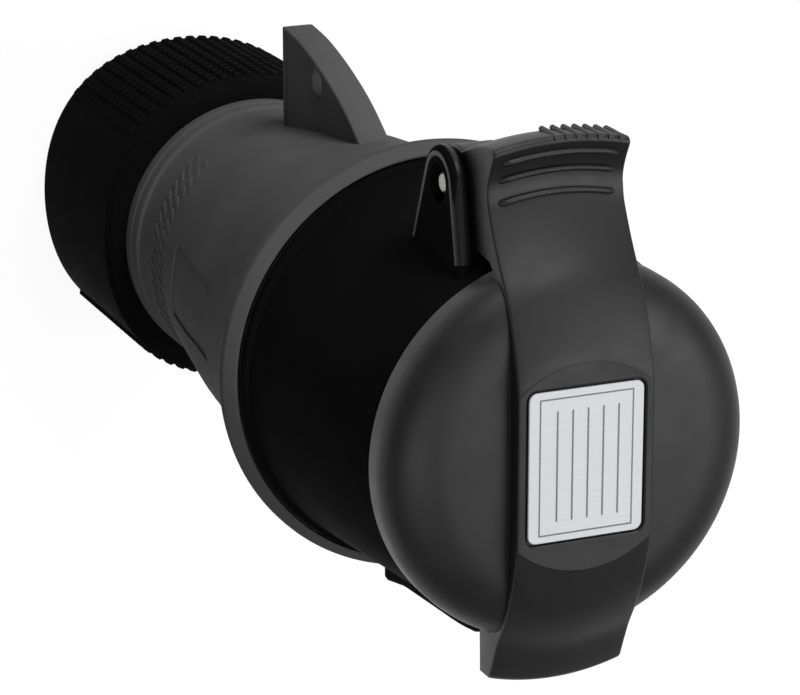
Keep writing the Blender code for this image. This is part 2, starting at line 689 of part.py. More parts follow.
plate_floor = STRAP_FACE_H - PLATE_T - GAP - 0.05
cut(lid, prism_z("plate_seat", rounded(PLATE_W, PLATE_L, PLATE_CORNER, PLATE_Y, 0.4),
                 plate_floor, STRAP_FACE_H + 2.0))
HINGE = (0.0, PIN_Y, PIN_H)
dress(lid, material("lid", BLACK, 0.33), HINGE)

plate = prism_z("rating_plate", rounded(PLATE_W, PLATE_L, PLATE_CORNER, PLATE_Y, 0.0),
                plate_floor + GAP, plate_floor + GAP + PLATE_T)
dress(plate, material("rating_plate", (0.6, 0.61, 0.65), 0.35), HINGE, smooth=False)

gasket = revolve("lid_gasket", [
    (GASKET_IN_R, MOUTH_H + GAP),
    (GASKET_OUT_R, MOUTH_H + GAP),
    (GASKET_OUT_R, LID_SEAT_H - GAP),
    (GASKET_IN_R, LID_SEAT_H - GAP),
])
dress(gasket, material("lid_gasket", (0.03, 0.03, 0.03), 0.75), HINGE)

# Closing spring: a coil about the pin with one leg on the collar and one under the lever
path = [Vector((-SPRING_HALF, PIN_Y - 6.9, PIN_H - 13.0)), Vector((-SPRING_HALF, PIN_Y - 5.1, PIN_H - 6.5))]
count = int(TURNS * 12)
for i in range(count + 1):
    t = i / count
    a = math.radians(180.0) + 2.0 * math.pi * TURNS * t
    x = SPRING_HALF * (2.0 * t - 1.0)
    path.append(Vector((x, PIN_Y + COIL_R * math.cos(a), PIN_H + COIL_R * math.sin(a))))
path.append(Vector((SPRING_HALF, PIN_Y + COIL_R, PIN_H + 1.5)))
bm = bmesh.new()
sides = 6
previous = None
frame_up = Vector((1.0, 0.0, 0.0))
rings = []
for i, point in enumerate(path):
    a = path[max(0, i - 1)]
    b = path[min(len(path) - 1, i + 1)]
    along = (b - a).normalized()
    side = along.cross(frame_up).normalized()
    up = side.cross(along).normalized()
    ring = []
    for k in range(sides):
        t = 2.0 * math.pi * k / sides
        ring.append(bm.verts.new(point + side * (WIRE_R * math.cos(t)) + up * (WIRE_R * math.sin(t))))
    rings.append(ring)
for i in range(len(rings) - 1):
    for k in range(sides):
        m = (k + 1) % sides
        bm.faces.new((rings[i][k], rings[i][m], rings[i + 1][m], rings[i + 1][k]))
bm.faces.new(list(reversed(rings[0])))
bm.faces.new(rings[-1])
spring = finish_mesh(bm, "lid_spring")
dress(spring, material("lid_spring", (0.55, 0.55, 0.53), 0.3, 1.0))

# Contact carrier with four bores and two fixing holes; the screw terminals stand out behind it
carrier = revolve("contact_carrier", [
    (0.0, CARRIER_TAIL_H),
    (CARRIER_TAIL_R - 0.6, CARRIER_TAIL_H),
    (CARRIER_TAIL_R, CARRIER_TAIL_H + 0.6),
    (CARRIER_TAIL_R, CARRIER_FLANGE_H - CARRIER_FLANGE_T),
    (CARRIER_FLANGE_R, CARRIER_FLANGE_H - CARRIER_FLANGE_T),
    (CARRIER_FLANGE_R, CARRIER_FLANGE_H),
    (CARRIER_R, CARRIER_FLANGE_H),
    (CARRIER_R, CARRIER_FACE_H - 0.8),
    (CARRIER_R - 0.8, CARRIER_FACE_H),
    (0.0, CARRIER_FACE_H),
], 40)


def contact(name, angle, pin_radius):
    """Sleeve with its terminal screw behind the carrier, and its seat in the carrier."""
    a = math.radians(angle)
    out = Vector((math.cos(a), math.sin(a), 0.0))
    centre = out * PITCH_R
    inner = pin_radius + 0.1
    outer = inner + SLEEVE_WALL
    low = centre + Vector((0.0, 0.0, CARRIER_TAIL_H - 1.0))
    high = centre + Vector((0.0, 0.0, SLEEVE_TOP_H + GAP))
    cut(carrier, rod("seat", low, high, outer + GAP, 16))
    top = centre + Vector((0.0, 0.0, CARRIER_FACE_H + 1.0))
    cut(carrier, rod("entry", low, top, inner + 0.4, 16))
    level = Vector((0.0, 0.0, SCREW_H))
    sleeve = revolve(name, [
        (0.0, CARRIER_TAIL_H + 1.0),
        (1.7, CARRIER_TAIL_H + 1.0),
        (1.7, SLEEVE_END_H),
        (outer, SLEEVE_END_H),
        (outer, SLEEVE_TOP_H - 0.5),
        (outer - 0.4, SLEEVE_TOP_H),
        (inner + 0.3, SLEEVE_TOP_H),
        (inner, SLEEVE_TOP_H - 0.6),
        (inner, CARRIER_TAIL_H + 5.0),
        (0.0, CARRIER_TAIL_H + 4.0),
    ], 24)
    sleeve.data.transform(Matrix.Translation(centre * MM))
    cut(sleeve, rod("cross", centre + level, centre + out * (outer + 5.0) + level, SCREW_R + GAP, 16))
    dress(sleeve, material(name, (0.75, 0.52, 0.2), 0.25, 1.0))
    tip = PITCH_R + 2.1
    seat = PITCH_R + outer + GAP
    screw_name = "terminal_screw_" + name.split("_")[-1]
    screw = rod(screw_name, out * tip + level, out * (seat + 0.8) + level, SCREW_R, 16)
    join(screw, rod("head", out * (seat + 0.3) + level, out * (seat + 1.9) + level, 1.95, 20))
    slot = box("slot", seat + 1.2, seat + 3.0, -0.3, 0.3, SCREW_H - 3.0, SCREW_H + 3.0)
    slot.data.transform(Matrix.Rotation(a, 4, "Z"))
    cut(screw, slot)
    dress(screw, material(screw_name, (0.6, 0.6, 0.58), 0.3, 1.0))


for index, angle in enumerate(PHASE_ANGLES):
    contact("phase_sleeve_%d" % (index + 1), angle, PHASE_PIN_R)
contact("earth_sleeve_e", EARTH_ANGLE, EARTH_PIN_R)
for side, name in ((1.0, "carrier_screw_1"), (-1.0, "carrier_screw_2")):
    x = side * FIXING_X
    low = CARRIER_FLANGE_H - CARRIER_FLANGE_T
    cut(carrier, rod("screw_way", (x, 0.0, low - 1.0), (x, 0.0, CARRIER_FLANGE_H + 1.0), 1.5, 12))
    fixing = rod(name, (x, 0.0, low - 1.5), (x, 0.0, FIXING_END_H - 0.4), 1.2, 16)
    join(fixing, rod("head", (x, 0.0, low - GAP - 1.9), (x, 0.0, low - GAP), 2.3, 20))
    cut(fixing, box("slot", x - 3.0, x + 3.0, -0.3, 0.3, low - 4.0, low - GAP - 1.2))
    dress(fixing, material(name, (0.6, 0.6, 0.58), 0.3, 1.0))
dress(carrier, material("contact_carrier", (0.05, 0.05, 0.052), 0.45))

# The origin moves to the middle of the overall box, on the floor
bpy.context.view_layer.update()
corners = [obj.matrix_world @ Vector(c) for obj in scene.objects for c in obj.bound_box]
middle = (min(c.y for c in corners) + max(c.y for c in corners)) / 2.0
floor = min(c.z for c in corners)
for obj in scene.objects:
    obj.location.y -= middle
    obj.location.z -= floor
bpy.context.view_layer.update()
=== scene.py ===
# %% [markdown]
# # A splash-proof cable coupler
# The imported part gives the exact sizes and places. This lesson dresses it: the plastic pieces
# are rebuilt with rounded edges, small repeats come from Geometry Nodes, and each finish is a
# little node tree. The frame is loaded first, so that nothing drifts away from it.

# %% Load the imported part
import math

import bpy
import bmesh
import numpy as np
from mathutils import Matrix, Vector


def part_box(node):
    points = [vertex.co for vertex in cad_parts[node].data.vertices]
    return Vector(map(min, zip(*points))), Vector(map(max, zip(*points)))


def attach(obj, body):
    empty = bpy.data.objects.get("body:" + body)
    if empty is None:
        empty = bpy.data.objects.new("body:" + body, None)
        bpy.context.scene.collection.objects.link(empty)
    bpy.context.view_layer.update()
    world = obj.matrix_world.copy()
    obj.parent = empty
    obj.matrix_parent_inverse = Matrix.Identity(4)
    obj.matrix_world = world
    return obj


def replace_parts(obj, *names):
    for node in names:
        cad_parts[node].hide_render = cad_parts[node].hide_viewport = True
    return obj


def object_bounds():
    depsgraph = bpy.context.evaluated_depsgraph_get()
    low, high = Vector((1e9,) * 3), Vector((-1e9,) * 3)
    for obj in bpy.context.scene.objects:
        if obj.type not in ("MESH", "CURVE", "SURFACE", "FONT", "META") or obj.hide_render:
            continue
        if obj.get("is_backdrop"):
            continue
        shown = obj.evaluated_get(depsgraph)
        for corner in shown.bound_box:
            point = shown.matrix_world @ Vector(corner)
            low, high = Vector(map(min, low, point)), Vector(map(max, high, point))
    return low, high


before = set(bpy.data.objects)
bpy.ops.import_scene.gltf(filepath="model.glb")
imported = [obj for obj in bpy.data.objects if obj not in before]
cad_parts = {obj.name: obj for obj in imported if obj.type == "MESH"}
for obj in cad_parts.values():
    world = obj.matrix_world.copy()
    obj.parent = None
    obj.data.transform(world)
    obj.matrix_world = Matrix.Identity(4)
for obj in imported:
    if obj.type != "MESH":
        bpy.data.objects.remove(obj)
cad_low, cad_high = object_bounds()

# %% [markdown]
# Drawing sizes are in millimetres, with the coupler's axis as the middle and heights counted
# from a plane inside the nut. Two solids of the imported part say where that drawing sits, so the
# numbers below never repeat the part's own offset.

MM = 0.001
carrier_low, carrier_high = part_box("contact_carrier")
AXIS_Y = (carrier_low.y + carrier_high.y) / 2.0 / MM
MOUTH_H = 177.0
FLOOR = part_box("front_housing")[1].z / MM - MOUTH_H
PLACE = Vector((0.0, AXIS_Y, FLOOR)) * MM
print("axis at y %.2f mm, floor %.2f mm under the drawing's zero" % (AXIS_Y, FLOOR))

# %% [markdown]
# Every shape below ends in the same step. Its points come in drawing millimetres and leave in
# the frame's metres, doubled points are merged, and the faces are turned outwards. The object
# itself stays at the origin, so that a pattern on Object coordinates can't slide.

# %% From points to a closed piece
def placed(name, data):
    ob = bpy.data.objects.new(name, data)
    bpy.context.scene.collection.objects.link(ob)
    return ob


def drawn_mesh(name, points, edges, faces):
    """Drawing points in mm become a mesh in the frame's metres."""
    mesh = bpy.data.meshes.new(name)
    mesh.from_pydata([(x * MM, (AXIS_Y + y) * MM, (h + FLOOR) * MM) for x, y, h in points], edges, faces)
    return mesh


def bands(rows, count):
    """Faces between rows of points; every row has the same count and closes on itself."""
    faces = []
    for low in range(0, (rows - 1) * count, count):
        for i in range(count):
            j = (i + 1) % count
            faces.append((low + i, low + j, low + count + j, low + count + i))
    return faces


def finish(name, points, faces, smooth=True):
    mesh = drawn_mesh(name, points, [], faces)
    bm = bmesh.new()
    bm.from_mesh(mesh)
    bmesh.ops.remove_doubles(bm, verts=bm.verts, dist=1e-6)
    bmesh.ops.recalc_face_normals(bm, faces=bm.faces)
    if bm.calc_volume(signed=True) < 0:
        bmesh.ops.reverse_faces(bm, faces=bm.faces)
    bm.to_mesh(mesh)
    bm.free()
    piece = placed(name, mesh)
    if smooth:
        soften(piece)
    return piece


def soften(piece, degrees=32.0):
    piece.data.shade_smooth()
    piece.data.set_sharp_from_angle(angle=math.radians(degrees))


# %% [markdown]
# Moulded edges are never knife sharp. A Bevel modifier could round them afterwards, but it
# often spoils the thin faces that a Boolean leaves. So the outlines are rounded before they
# become solids: a third number on a corner is its radius. Long swells are drawn through a few
# measured points with a smooth line.

# %% Rounded and smooth outlines
def fillet(outline, steps=4, closed=True):
    """Rounds each corner that carries a third number, its radius."""
    out = []
    count = len(outline)
    for i, point in enumerate(outline):
        corner = Vector(point[:2])
        if len(point) < 3 or (not closed and i in (0, count - 1)):
            out.append(tuple(corner))
            continue
        before = Vector(outline[i - 1][:2]) - corner
        after = Vector(outline[(i + 1) % count][:2]) - corner
        half = before.angle(after) / 2.0
        reach = min(point[2] / math.tan(half), 0.48 * before.length, 0.48 * after.length)
        radius = reach * math.tan(half)
        before.normalize()
        after.normalize()
        middle = corner + (before + after).normalized() * (radius / math.sin(half))
        start = corner + before * reach - middle
        end = corner + after * reach - middle
        for k in range(steps + 1):
            out.append(tuple(middle + start.lerp(end, k / steps).normalized() * radius))
    return out


def curve_through(points, per=4):
    """A smooth line through points, by the Catmull-Rom rule."""
    pts = [np.array(p, float) for p in points]
    pts = [2 * pts[0] - pts[1]] + pts + [2 * pts[-1] - pts[-2]]
    out = []
    for i in range(1, len(pts) - 2):
        a, b, c, d = pts[i - 1], pts[i], pts[i + 1], pts[i + 2]
        for k in range(per):
            t = k / per
            square = (2 * a - 5 * b + 4 * c - d) * t * t
            cube = (3 * b - a - 3 * c + d) * t ** 3
            out.append(0.5 * (2 * b + (c - a) * t + square + cube))
    out.append(pts[-2])
    return [(float(x), float(y)) for x, y in out]


# %% [markdown]
# Most pieces are turned shapes. The lathe takes a wall's outline as a closed loop of radius and
# height. The Screw modifier could turn the loop too, but plain mesh code also lets a rule push
# single points, as a thread or a rounded square needs.

# %% Lathe
def lathe(name, loop, segs=160, rule=None, centre=(0.0, 0.0)):
    """Turns a closed (radius, height) loop about the axis; rule(angle, r, h) may change a radius."""
    points = []
    faces = []
    rings = []
    for radius, height in loop:
        if radius < 1e-5:
            rings.append([len(points)])
            points.append((centre[0], centre[1], height))
            continue
        ring = []
        for i in range(segs):
            a = 2.0 * math.pi * i / segs
            r = rule(a, radius, height) if rule else radius
            ring.append(len(points))
            points.append((centre[0] + r * math.cos(a), centre[1] + r * math.sin(a), height))
        rings.append(ring)
    for low, high in zip(rings, rings[1:] + rings[:1]):
        if len(low) == 1 and len(high) == 1:
            continue
        for i in range(segs):
            j = (i + 1) % segs
            if len(low) == 1:
                faces.append((low[0], high[j], high[i]))
            elif len(high) == 1:
                faces.append((low[i], low[j], high[0]))
            else:
                faces.append((low[i], low[j], high[j], high[i]))
    return finish(name, points, faces)


# %% [markdown]
# The other shapes are flat plates seen from the side, round bars between two points, and plain
# blocks that only serve as cutters. Primitives could be scaled into place, but then each would
# carry its own scale, and the export wants none.

# %% Plates, bars and blocks
def plate(name, outline, x0, x1, edge=0.0, steps=3):
    """A (y, height) outline pushed along X, with its rim rounded by edge."""
    count = len(outline)
    points = [(x, y, h) for x in (x0, x1) for y, h in outline]
    faces = [tuple(range(count)), tuple(range(2 * count - 1, count - 1, -1))]
    faces += [(i, (i + 1) % count, count + (i + 1) % count, count + i) for i in range(count)]
    piece = finish(name, points, faces, smooth=False)
    if edge:
        bm = bmesh.new()
        bm.from_mesh(piece.data)
        rim = [e for e in bm.edges if abs(e.verts[0].co.x - e.verts[1].co.x) < 1e-7]
        bmesh.ops.bevel(bm, geom=rim, offset=edge * MM, segments=steps, profile=0.5, affect="EDGES")
        bm.to_mesh(piece.data)
        bm.free()
    return piece


def rod(name, start, end, radius, segs=48, edge=0.0):
    """A round bar between two drawing points, with its ends chamfered by edge."""
    a = Vector(start)
    b = Vector(end)
    turn = (b - a).to_track_quat("Z", "Y").to_matrix()
    length = (b - a).length
    loop = [(0.0, 0.0), (radius - edge, 0.0), (radius, edge)]
    loop += [(radius, length - edge), (radius - edge, length), (0.0, length)]
    points = []
    for r, h in loop:
        for i in range(segs):
            t = 2.0 * math.pi * i / segs
            points.append(tuple(a + turn @ Vector((r * math.cos(t), r * math.sin(t), h))))
    return finish(name, points, bands(len(loop), segs))


def block(name, x0, x1, y0, y1, h0, h1):
    return plate(name, [(y0, h0), (y1, h0), (y1, h1), (y0, h1)], x0, x1)


# %% [markdown]
# Solids are joined and cut with the Boolean modifier. Its Manifold solver is quick and keeps
# closed shells closed. Each result is baked to a plain mesh at once, and its volume and its
# count of loose edges are printed, because they tell whether a cut went wrong.

# %% Booleans and measures
def bake(piece):
    """Modifiers become plain mesh."""
    graph = bpy.context.evaluated_depsgraph_get()
    baked = bpy.data.meshes.new_from_object(piece.evaluated_get(graph))
    piece.modifiers.clear()
    piece.data = baked
    baked.name = piece.name


def boolean(piece, tool, operation):
    mod = piece.modifiers.new("cut", "BOOLEAN")
    mod.operation = operation
    mod.solver = "MANIFOLD"
    mod.object = tool
    bpy.context.view_layer.update()
    bake(piece)
    bpy.data.objects.remove(tool, do_unlink=True)


def cut(piece, *tools):
    for tool in tools:
        boolean(piece, tool, "DIFFERENCE")


def join(piece, *tools):
    for tool in tools:
        boolean(piece, tool, "UNION")


def measure(piece):
    """Prints triangles, cubic centimetres, and the edges that don't join two faces."""
    bm = bmesh.new()
    bm.from_mesh(piece.data)
    loose = sum(1 for e in bm.edges if len(e.link_faces) != 2)
    value = bm.calc_volume(signed=True) / MM ** 3 / 1000.0
    bm.free()
    count = sum(len(p.vertices) - 2 for p in piece.data.polygons)
    print("%s: %d triangles, %.2f cm3, %d loose edges" % (piece.name, count, value, loose))


# %% [markdown]
# Finishes and repeated shapes are both node trees. Short functions write them: one fills a
# node's inputs with plain values or with other nodes' outputs, the other adds a node and hands
# back its first output, so that a tree reads like a formula.

# %% Short names for node trees
def fill(node, given):
    for key, value in given.items():
        if isinstance(value, bpy.types.NodeSocket):
            node.id_data.links.new(value, node.inputs[key])
        else:
            node.inputs[key].default_value = value


def add_node(tree, kind, given=None, **settings):
    node = tree.nodes.new(kind)
    for key, value in settings.items():
        setattr(node, key, value)
    fill(node, given or {})
    return node.outputs[0]


def calc(tree, operation, *values):
    return add_node(tree, "ShaderNodeMath", dict(enumerate(values)), operation=operation)


# %% [markdown]
# Moulded plastic isn't one flat colour. The tool leaves a very fine spark-eroded grain, the
# granules flow into faint cloudy patches, and handling polishes some places. One function
# builds that tree: slow noise tints the colour, middle noise moves the roughness, and the fine
# grain goes into the bump. All of it reads Object coordinates, so it stays on its piece.

# %% Material nodes that every finish shares
NOISE_LOW = 0.3
NOISE_HIGH = 0.7
GRAIN_DEPTH = 0.0001


def new_material(name, color, rough, metal=0.0, specular=0.5):
    mat = bpy.data.materials.new(name)
    mat.use_nodes = True
    mat.diffuse_color = (*color, 1.0)
    shader = mat.node_tree.nodes["Principled BSDF"]
    fill(shader, {
        "Base Color": (*color, 1.0),
        "Roughness": rough,
        "Metallic": metal,
        "Specular IOR Level": specular,
    })
    return mat, mat.node_tree, shader


def object_place(tree, scale=None):
    """Object coordinates, drawn out by scale where one is given."""
    place = tree.nodes.new("ShaderNodeTexCoord").outputs["Object"]
    return add_node(tree, "ShaderNodeMapping", {"Vector": place, "Scale": scale}) if scale else place


def noise_at(tree, place, scale, detail=3.0):
    return add_node(tree, "ShaderNodeTexNoise", {"Vector": place, "Scale": scale, "Detail": detail})


def spread(tree, noise, low, high):
    """Maps the middle of a noise to a range of numbers."""
    ends = {"From Min": NOISE_LOW, "From Max": NOISE_HIGH, "To Min": low, "To Max": high}
    return add_node(tree, "ShaderNodeMapRange", {"Value": noise, **ends})


def tint(tree, noise, dark, light):
    ramp = tree.nodes.new("ShaderNodeValToRGB")
    for end, position, color in zip(ramp.color_ramp.elements, (NOISE_LOW, NOISE_HIGH), (dark, light)):
        end.position = position
        end.color = (*color, 1.0)
    fill(ramp, {"Fac": noise})
    return ramp.outputs["Color"]


def bump(tree, noise, strength):
    given = {"Strength": strength, "Distance": GRAIN_DEPTH, "Height": noise}
    return add_node(tree, "ShaderNodeBump", given)


# %% Plastic and metal finishes
def moulded(name, color, rough, grain=0.12, grain_scale=2600.0, specular=0.5, cloud=0.08):
    """Moulded plastic: cloudy tint, handled roughness and a spark-eroded grain."""
    mat, tree, shader = new_material(name, color, rough, specular=specular)
    place = object_place(tree)
    dark = tuple(c * (1.0 - cloud) for c in color)
    light = tuple(c * (1.0 + cloud) for c in color)
    fill(shader, {
        "Base Color": tint(tree, noise_at(tree, place, 45.0, 2.0), dark, light),
        "Roughness": spread(tree, noise_at(tree, place, 160.0, 5.0), rough - 0.04, rough + 0.05),
        "Normal": bump(tree, noise_at(tree, place, grain_scale, 2.0), grain),
    })
    return mat


def metal(name, dark, light, rough, scale=(400.0, 400.0, 400.0), scratch=0.1):
    """Plated or machined metal: drawn-out noise for tool marks in colour, gloss and bump."""
    mat, tree, shader = new_material(name, light, rough, 1.0)
    marks = noise_at(tree, object_place(tree, scale), 1.0, 6.0)
    fill(shader, {
        "Base Color": tint(tree, marks, dark, light),
        "Roughness": spread(tree, marks, rough - 0.08, rough + 0.1),
        "Normal": bump(tree, marks, scratch),
    })
    return mat


def dress(piece, mat):
    piece.data.materials.clear()
    piece.data.materials.append(mat)
    return piece


# %% [markdown]
# The coupler has two moulded colours, a middle grey for the rear housing and black for the
# rest. The nut is a tougher nylon with more grain. The matt mouldings have almost no mirror
# gloss, or the pale floor would show in their sides. The lid is smoother, so that a wide soft
# highlight runs over its dome. The pin, the screws and the spring are plated steel.

# %% Plastics and metals
GREY = moulded("grey_polyamide", (0.137, 0.139, 0.137), 0.55, 0.10, 2200.0, 0.004)
BLACK = moulded("black_polyamide", (0.0085, 0.0085, 0.0087), 0.5, 0.10, 2600.0, 0.002, 0.12)
# Painted highlight: the ears' rim uses a lighter, glossier copy of the housing's black, though ears and
# housing are one moulding.
EAR_RIM_LIT_BLACK = moulded("ear_rim_highlight_black", (0.012, 0.012, 0.0125), 0.42, 0.08, 2600.0, 0.28, 0.08)
LID_BLACK = moulded("lid_black", (0.006, 0.006, 0.0063), 0.48, 0.07, 3000.0, 0.48, 0.06)
NUT_BLACK = moulded("nut_nylon", (0.0078, 0.0078, 0.0078), 0.55, 0.22, 1500.0, 0.002, 0.15)
CARRIER_BLACK = moulded("carrier_thermoset", (0.02, 0.02, 0.021), 0.5, 0.15, 1800.0, 0.4)
NATURAL = moulded("clamp_nylon", (0.42, 0.41, 0.37), 0.5, 0.1, 1500.0)
DARK_RING = moulded("thrust_nylon", (0.09, 0.09, 0.09), 0.55, 0.15, 1500.0)
RUBBER = moulded("seal_rubber", (0.014, 0.014, 0.014), 0.78, 0.3, 1400.0, 0.25, 0.2)
INK = moulded("grey_ink", (0.2, 0.2, 0.21), 0.5, 0.05, 2000.0, 0.2)
STEEL = metal("zinc_steel", (0.27, 0.27, 0.26), (0.46, 0.46, 0.45), 0.38, (900.0, 200.0, 900.0))
SPRING_STEEL = metal("spring_steel", (0.22, 0.22, 0.21), (0.4, 0.4, 0.39), 0.35, (1500.0,) * 3)
BRASS = metal("turned_brass", (0.55, 0.36, 0.12), (0.78, 0.56, 0.24), 0.26, (300.0, 300.0, 3000.0))
print(len(bpy.data.materials), "materials so far")

# %% [markdown]
# ## The grey rear housing
# On the real coupler this is the handle: a neck ring for the nut, a body that flares into a
# wide flange, and a threaded spigot that the nut runs on. The thread is a rule on the radius:
# a triangle wave that climbs one pitch for each turn. A helix curve with a profile could make
# it too, but the rule keeps the wall one closed skin.

# %% Thread on the spigot
SPIGOT_R = 22.4
SPIGOT_BORE_R = 19.9
SPIGOT_END_H = 12.0
NUT_SEAT_H = 35.9
THREAD_PITCH = 3.0
THREAD_DEPTH = 1.1
THREAD_LOW_H = SPIGOT_END_H + 1.2
THREAD_HIGH_H = NUT_SEAT_H - 2.0
THREAD_STEP = THREAD_PITCH / 8.0
THREAD_ROWS = 55


def thread_rule(angle, radius, height):
    if abs(radius - SPIGOT_R) > 0.01 or not THREAD_LOW_H < height < THREAD_HIGH_H:
        return radius
    phase = (height / THREAD_PITCH - angle / (2.0 * math.pi)) % 1.0
    wave = 1.0 - min(1.0, 1.6 * abs(2.0 * phase - 1.0))
    fade = min(1.0, (height - THREAD_LOW_H) / 1.5, (THREAD_HIGH_H - height) / 2.0)
    return radius - THREAD_DEPTH * wave * fade


thread_rows = [(SPIGOT_R, THREAD_LOW_H + THREAD_STEP * i) for i in range(THREAD_ROWS)]
print("thread: %.1f turns" % ((THREAD_HIGH_H - THREAD_LOW_H) / THREAD_PITCH))

# %% [markdown]
# The wall is one closed loop: up the outside from the spigot over the nut's seat, the grooved
# neck ring and the long flare to the flange, and down the inside. The flare is the line that
# the eye follows, so it goes through ten measured radii and not along an arc.

# %% Rear housing wall
NECK_RING_R = 26.6
NECK_GROOVE = 0.45
BODY_R = 26.0
FLANGE_R = 38.8
FLANGE_FRONT_H = 125.4
PLUG_BORE_R = 34.5
REAR_WALL = 2.3
flare = curve_through([
    (BODY_R, 44.5), (BODY_R + 0.8, 56.0), (BODY_R + 2.0, 64.0), (BODY_R + 3.2, 72.0),
    (BODY_R + 4.4, 80.0), (BODY_R + 5.2, 88.0), (BODY_R + 6.3, 96.0), (BODY_R + 7.8, 104.0),
    (BODY_R + 9.8, 112.0), (BODY_R + 11.4, 118.0),
], 3)
wall = [(SPIGOT_BORE_R, SPIGOT_END_H), (SPIGOT_R, SPIGOT_END_H, 0.5)] + thread_rows + [
    (SPIGOT_R, NUT_SEAT_H - 1.0), (SPIGOT_R, NUT_SEAT_H), (NECK_RING_R, NUT_SEAT_H, 0.45),
    (NECK_RING_R, 38.9, 0.3), (NECK_RING_R - NECK_GROOVE, 39.2, 0.1),
    (NECK_RING_R - NECK_GROOVE, 39.5, 0.1), (NECK_RING_R, 39.8, 0.3),
    (NECK_RING_R, 42.3, 0.5), (BODY_R + 0.1, 42.9, 0.5),
] + flare + [
    (FLANGE_R - 0.3, 120.8, 1.0), (FLANGE_R, 122.0, 0.4), (FLANGE_R, 123.4, 0.8),
    (37.2, FLANGE_FRONT_H, 0.5), (36.8, FLANGE_FRONT_H, 0.15), (36.8, 123.9),
    (PLUG_BORE_R, 123.9), (PLUG_BORE_R, 115.7), (BODY_R + 6.0, 107.5), (BODY_R + 4.0, 96.8),
    (BODY_R + 2.1, 80.6), (BODY_R - 0.3, 64.6), (BODY_R - 1.7, 54.0),
    (BODY_R - REAR_WALL, 47.0), (SPIGOT_BORE_R, 45.0),
]
rear = lathe("rear_housing_skin", fillet(wall), 160, thread_rule)
measure(rear)

# %% [markdown]
# On the left side the mould leaves a shallow rectangular panel that follows the flare. A flat
# cutter would be deeper in the middle than at its ends. So the cutter is a block from which
# the flare itself, shrunk by the panel's depth, has been taken away first.

# %% Side panel
PANEL_DEPTH = 0.4
PANEL_FRONT_Y = -4.8
PANEL_BACK_Y = 9.0
PANEL_LOW_H = 68.0
PANEL_HIGH_H = 97.0
panel = block("side_panel", -60.0, 0.0, PANEL_FRONT_Y, PANEL_BACK_Y, PANEL_LOW_H, PANEL_HIGH_H)
core = [(0.0, 50.0)] + [(r - PANEL_DEPTH, h) for r, h in flare] + [(0.0, 118.0)]
cut(panel, lathe("panel_core", core, 160))
cut(rear, panel)
measure(rear)

# %% [markdown]
# The hanging lug is a flat plate with a hole, moulded in one with the housing. Both sides have
# a shallow pocket inside a narrow rim, and the hole is chamfered. Its rim is rounded before
# the plate is joined, so the Boolean only has to handle the meeting line.

# %% Hanging lug
LUG_HALF = 3.0
LUG_LOW_H = 60.4
LUG_HOLE = (38.4, 75.0)
LUG_HOLE_R = 3.1
LUG_RIM = 1.0
LUG_POCKET = 0.45
LUG_CHAMFER = 1.04
lug_back = curve_through([
    (46.3, 61.2), (45.0, 69.6), (42.1, 79.5), (38.1, 89.1),
    (33.6, 96.6), (31.4, 99.6),
], 5)
lug_loop = [(26.4, LUG_LOW_H), (46.2, LUG_LOW_H)] + lug_back + [(30.2, 96.0), (28.4, 80.0)]
lug = plate("lug", lug_loop, -LUG_HALF, LUG_HALF, 0.35)
pocket_loop = [(24.0, LUG_LOW_H + LUG_RIM), (45.2, LUG_LOW_H + LUG_RIM)]
pocket_loop += [(y - LUG_RIM, h) for y, h in lug_back if h > LUG_LOW_H + 0.1 + LUG_RIM] + [(24.0, 99.6)]
for side in (-1.0, 1.0):
    x0, x1 = sorted((side * (LUG_HALF - LUG_POCKET), side * (LUG_HALF + 2.0)))
    cut(lug, plate("lug_pocket", pocket_loop, x0, x1))
    inner = (side * (LUG_HALF - LUG_POCKET - 1.0), *LUG_HOLE)
    outer = (side * (LUG_HALF + 0.6), *LUG_HOLE)
    cut(lug, rod("lug_chamfer", inner, outer, LUG_HOLE_R + 1.1, 64, LUG_CHAMFER))
cut(lug, rod("lug_hole", (-6.0, *LUG_HOLE), (6.0, *LUG_HOLE), LUG_HOLE_R))
join(rear, lug)
soften(rear)
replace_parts(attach(dress(rear, GREY), "housing"), "rear_housing")
measure(rear)

# %% [markdown]
# Small raised pieces that repeat over a rounded wall are the same job each time: wrap a grid of
# angle and height on the wall and set one shape on every point, facing outward. One Geometry
# Nodes tree does that for the nut's studs and for the grip bars. It ends in Realize Instances
# and Set Material, because instances would be lost in the export, and is baked to a plain mesh.

# %% Making and running a Geometry Nodes tree
SOCKETS = {int: "NodeSocketInt", float: "NodeSocketFloat"}


def new_tree(name, inputs):
    """An empty tree with named inputs, and what those inputs hand on."""
    tree = bpy.data.node_groups.new(name, "GeometryNodeTree")
    tree.interface.new_socket("Geometry", in_out="INPUT", socket_type="NodeSocketGeometry")
    for label, value in inputs.items():
        socket = tree.interface.new_socket(label, in_out="INPUT", socket_type=SOCKETS[type(value)])
        socket.default_value = value
    tree.interface.new_socket("Geometry", in_out="OUTPUT", socket_type="NodeSocketGeometry")
    return tree, tree.nodes.new("NodeGroupInput").outputs


def end_tree(tree, geometry, material):
    solid = add_node(tree, "GeometryNodeRealizeInstances", {0: geometry})
    painted = add_node(tree, "GeometryNodeSetMaterial", {"Geometry": solid, "Material": material})
    fill(tree.nodes.new("NodeGroupOutput"), {0: painted})
    return tree


def run_tree(name, tree, values, mesh=None):
    """Sets the tree's named inputs and bakes what it makes. Without a mesh to start from, the
    tree works around the drawing's centre, so the result is then moved to its place."""
    piece = placed(name, mesh or bpy.data.meshes.new(name))
    mod = piece.modifiers.new("make", "NODES")
    mod.node_group = tree
    for item in tree.interface.items_tree:
        if item.in_out == "INPUT" and item.name in values:
            mod[item.identifier] = values[item.name]
    bpy.context.view_layer.update()
    bake(piece)
    if mesh is None:
        piece.data.transform(Matrix.Translation(PLACE))
    return piece


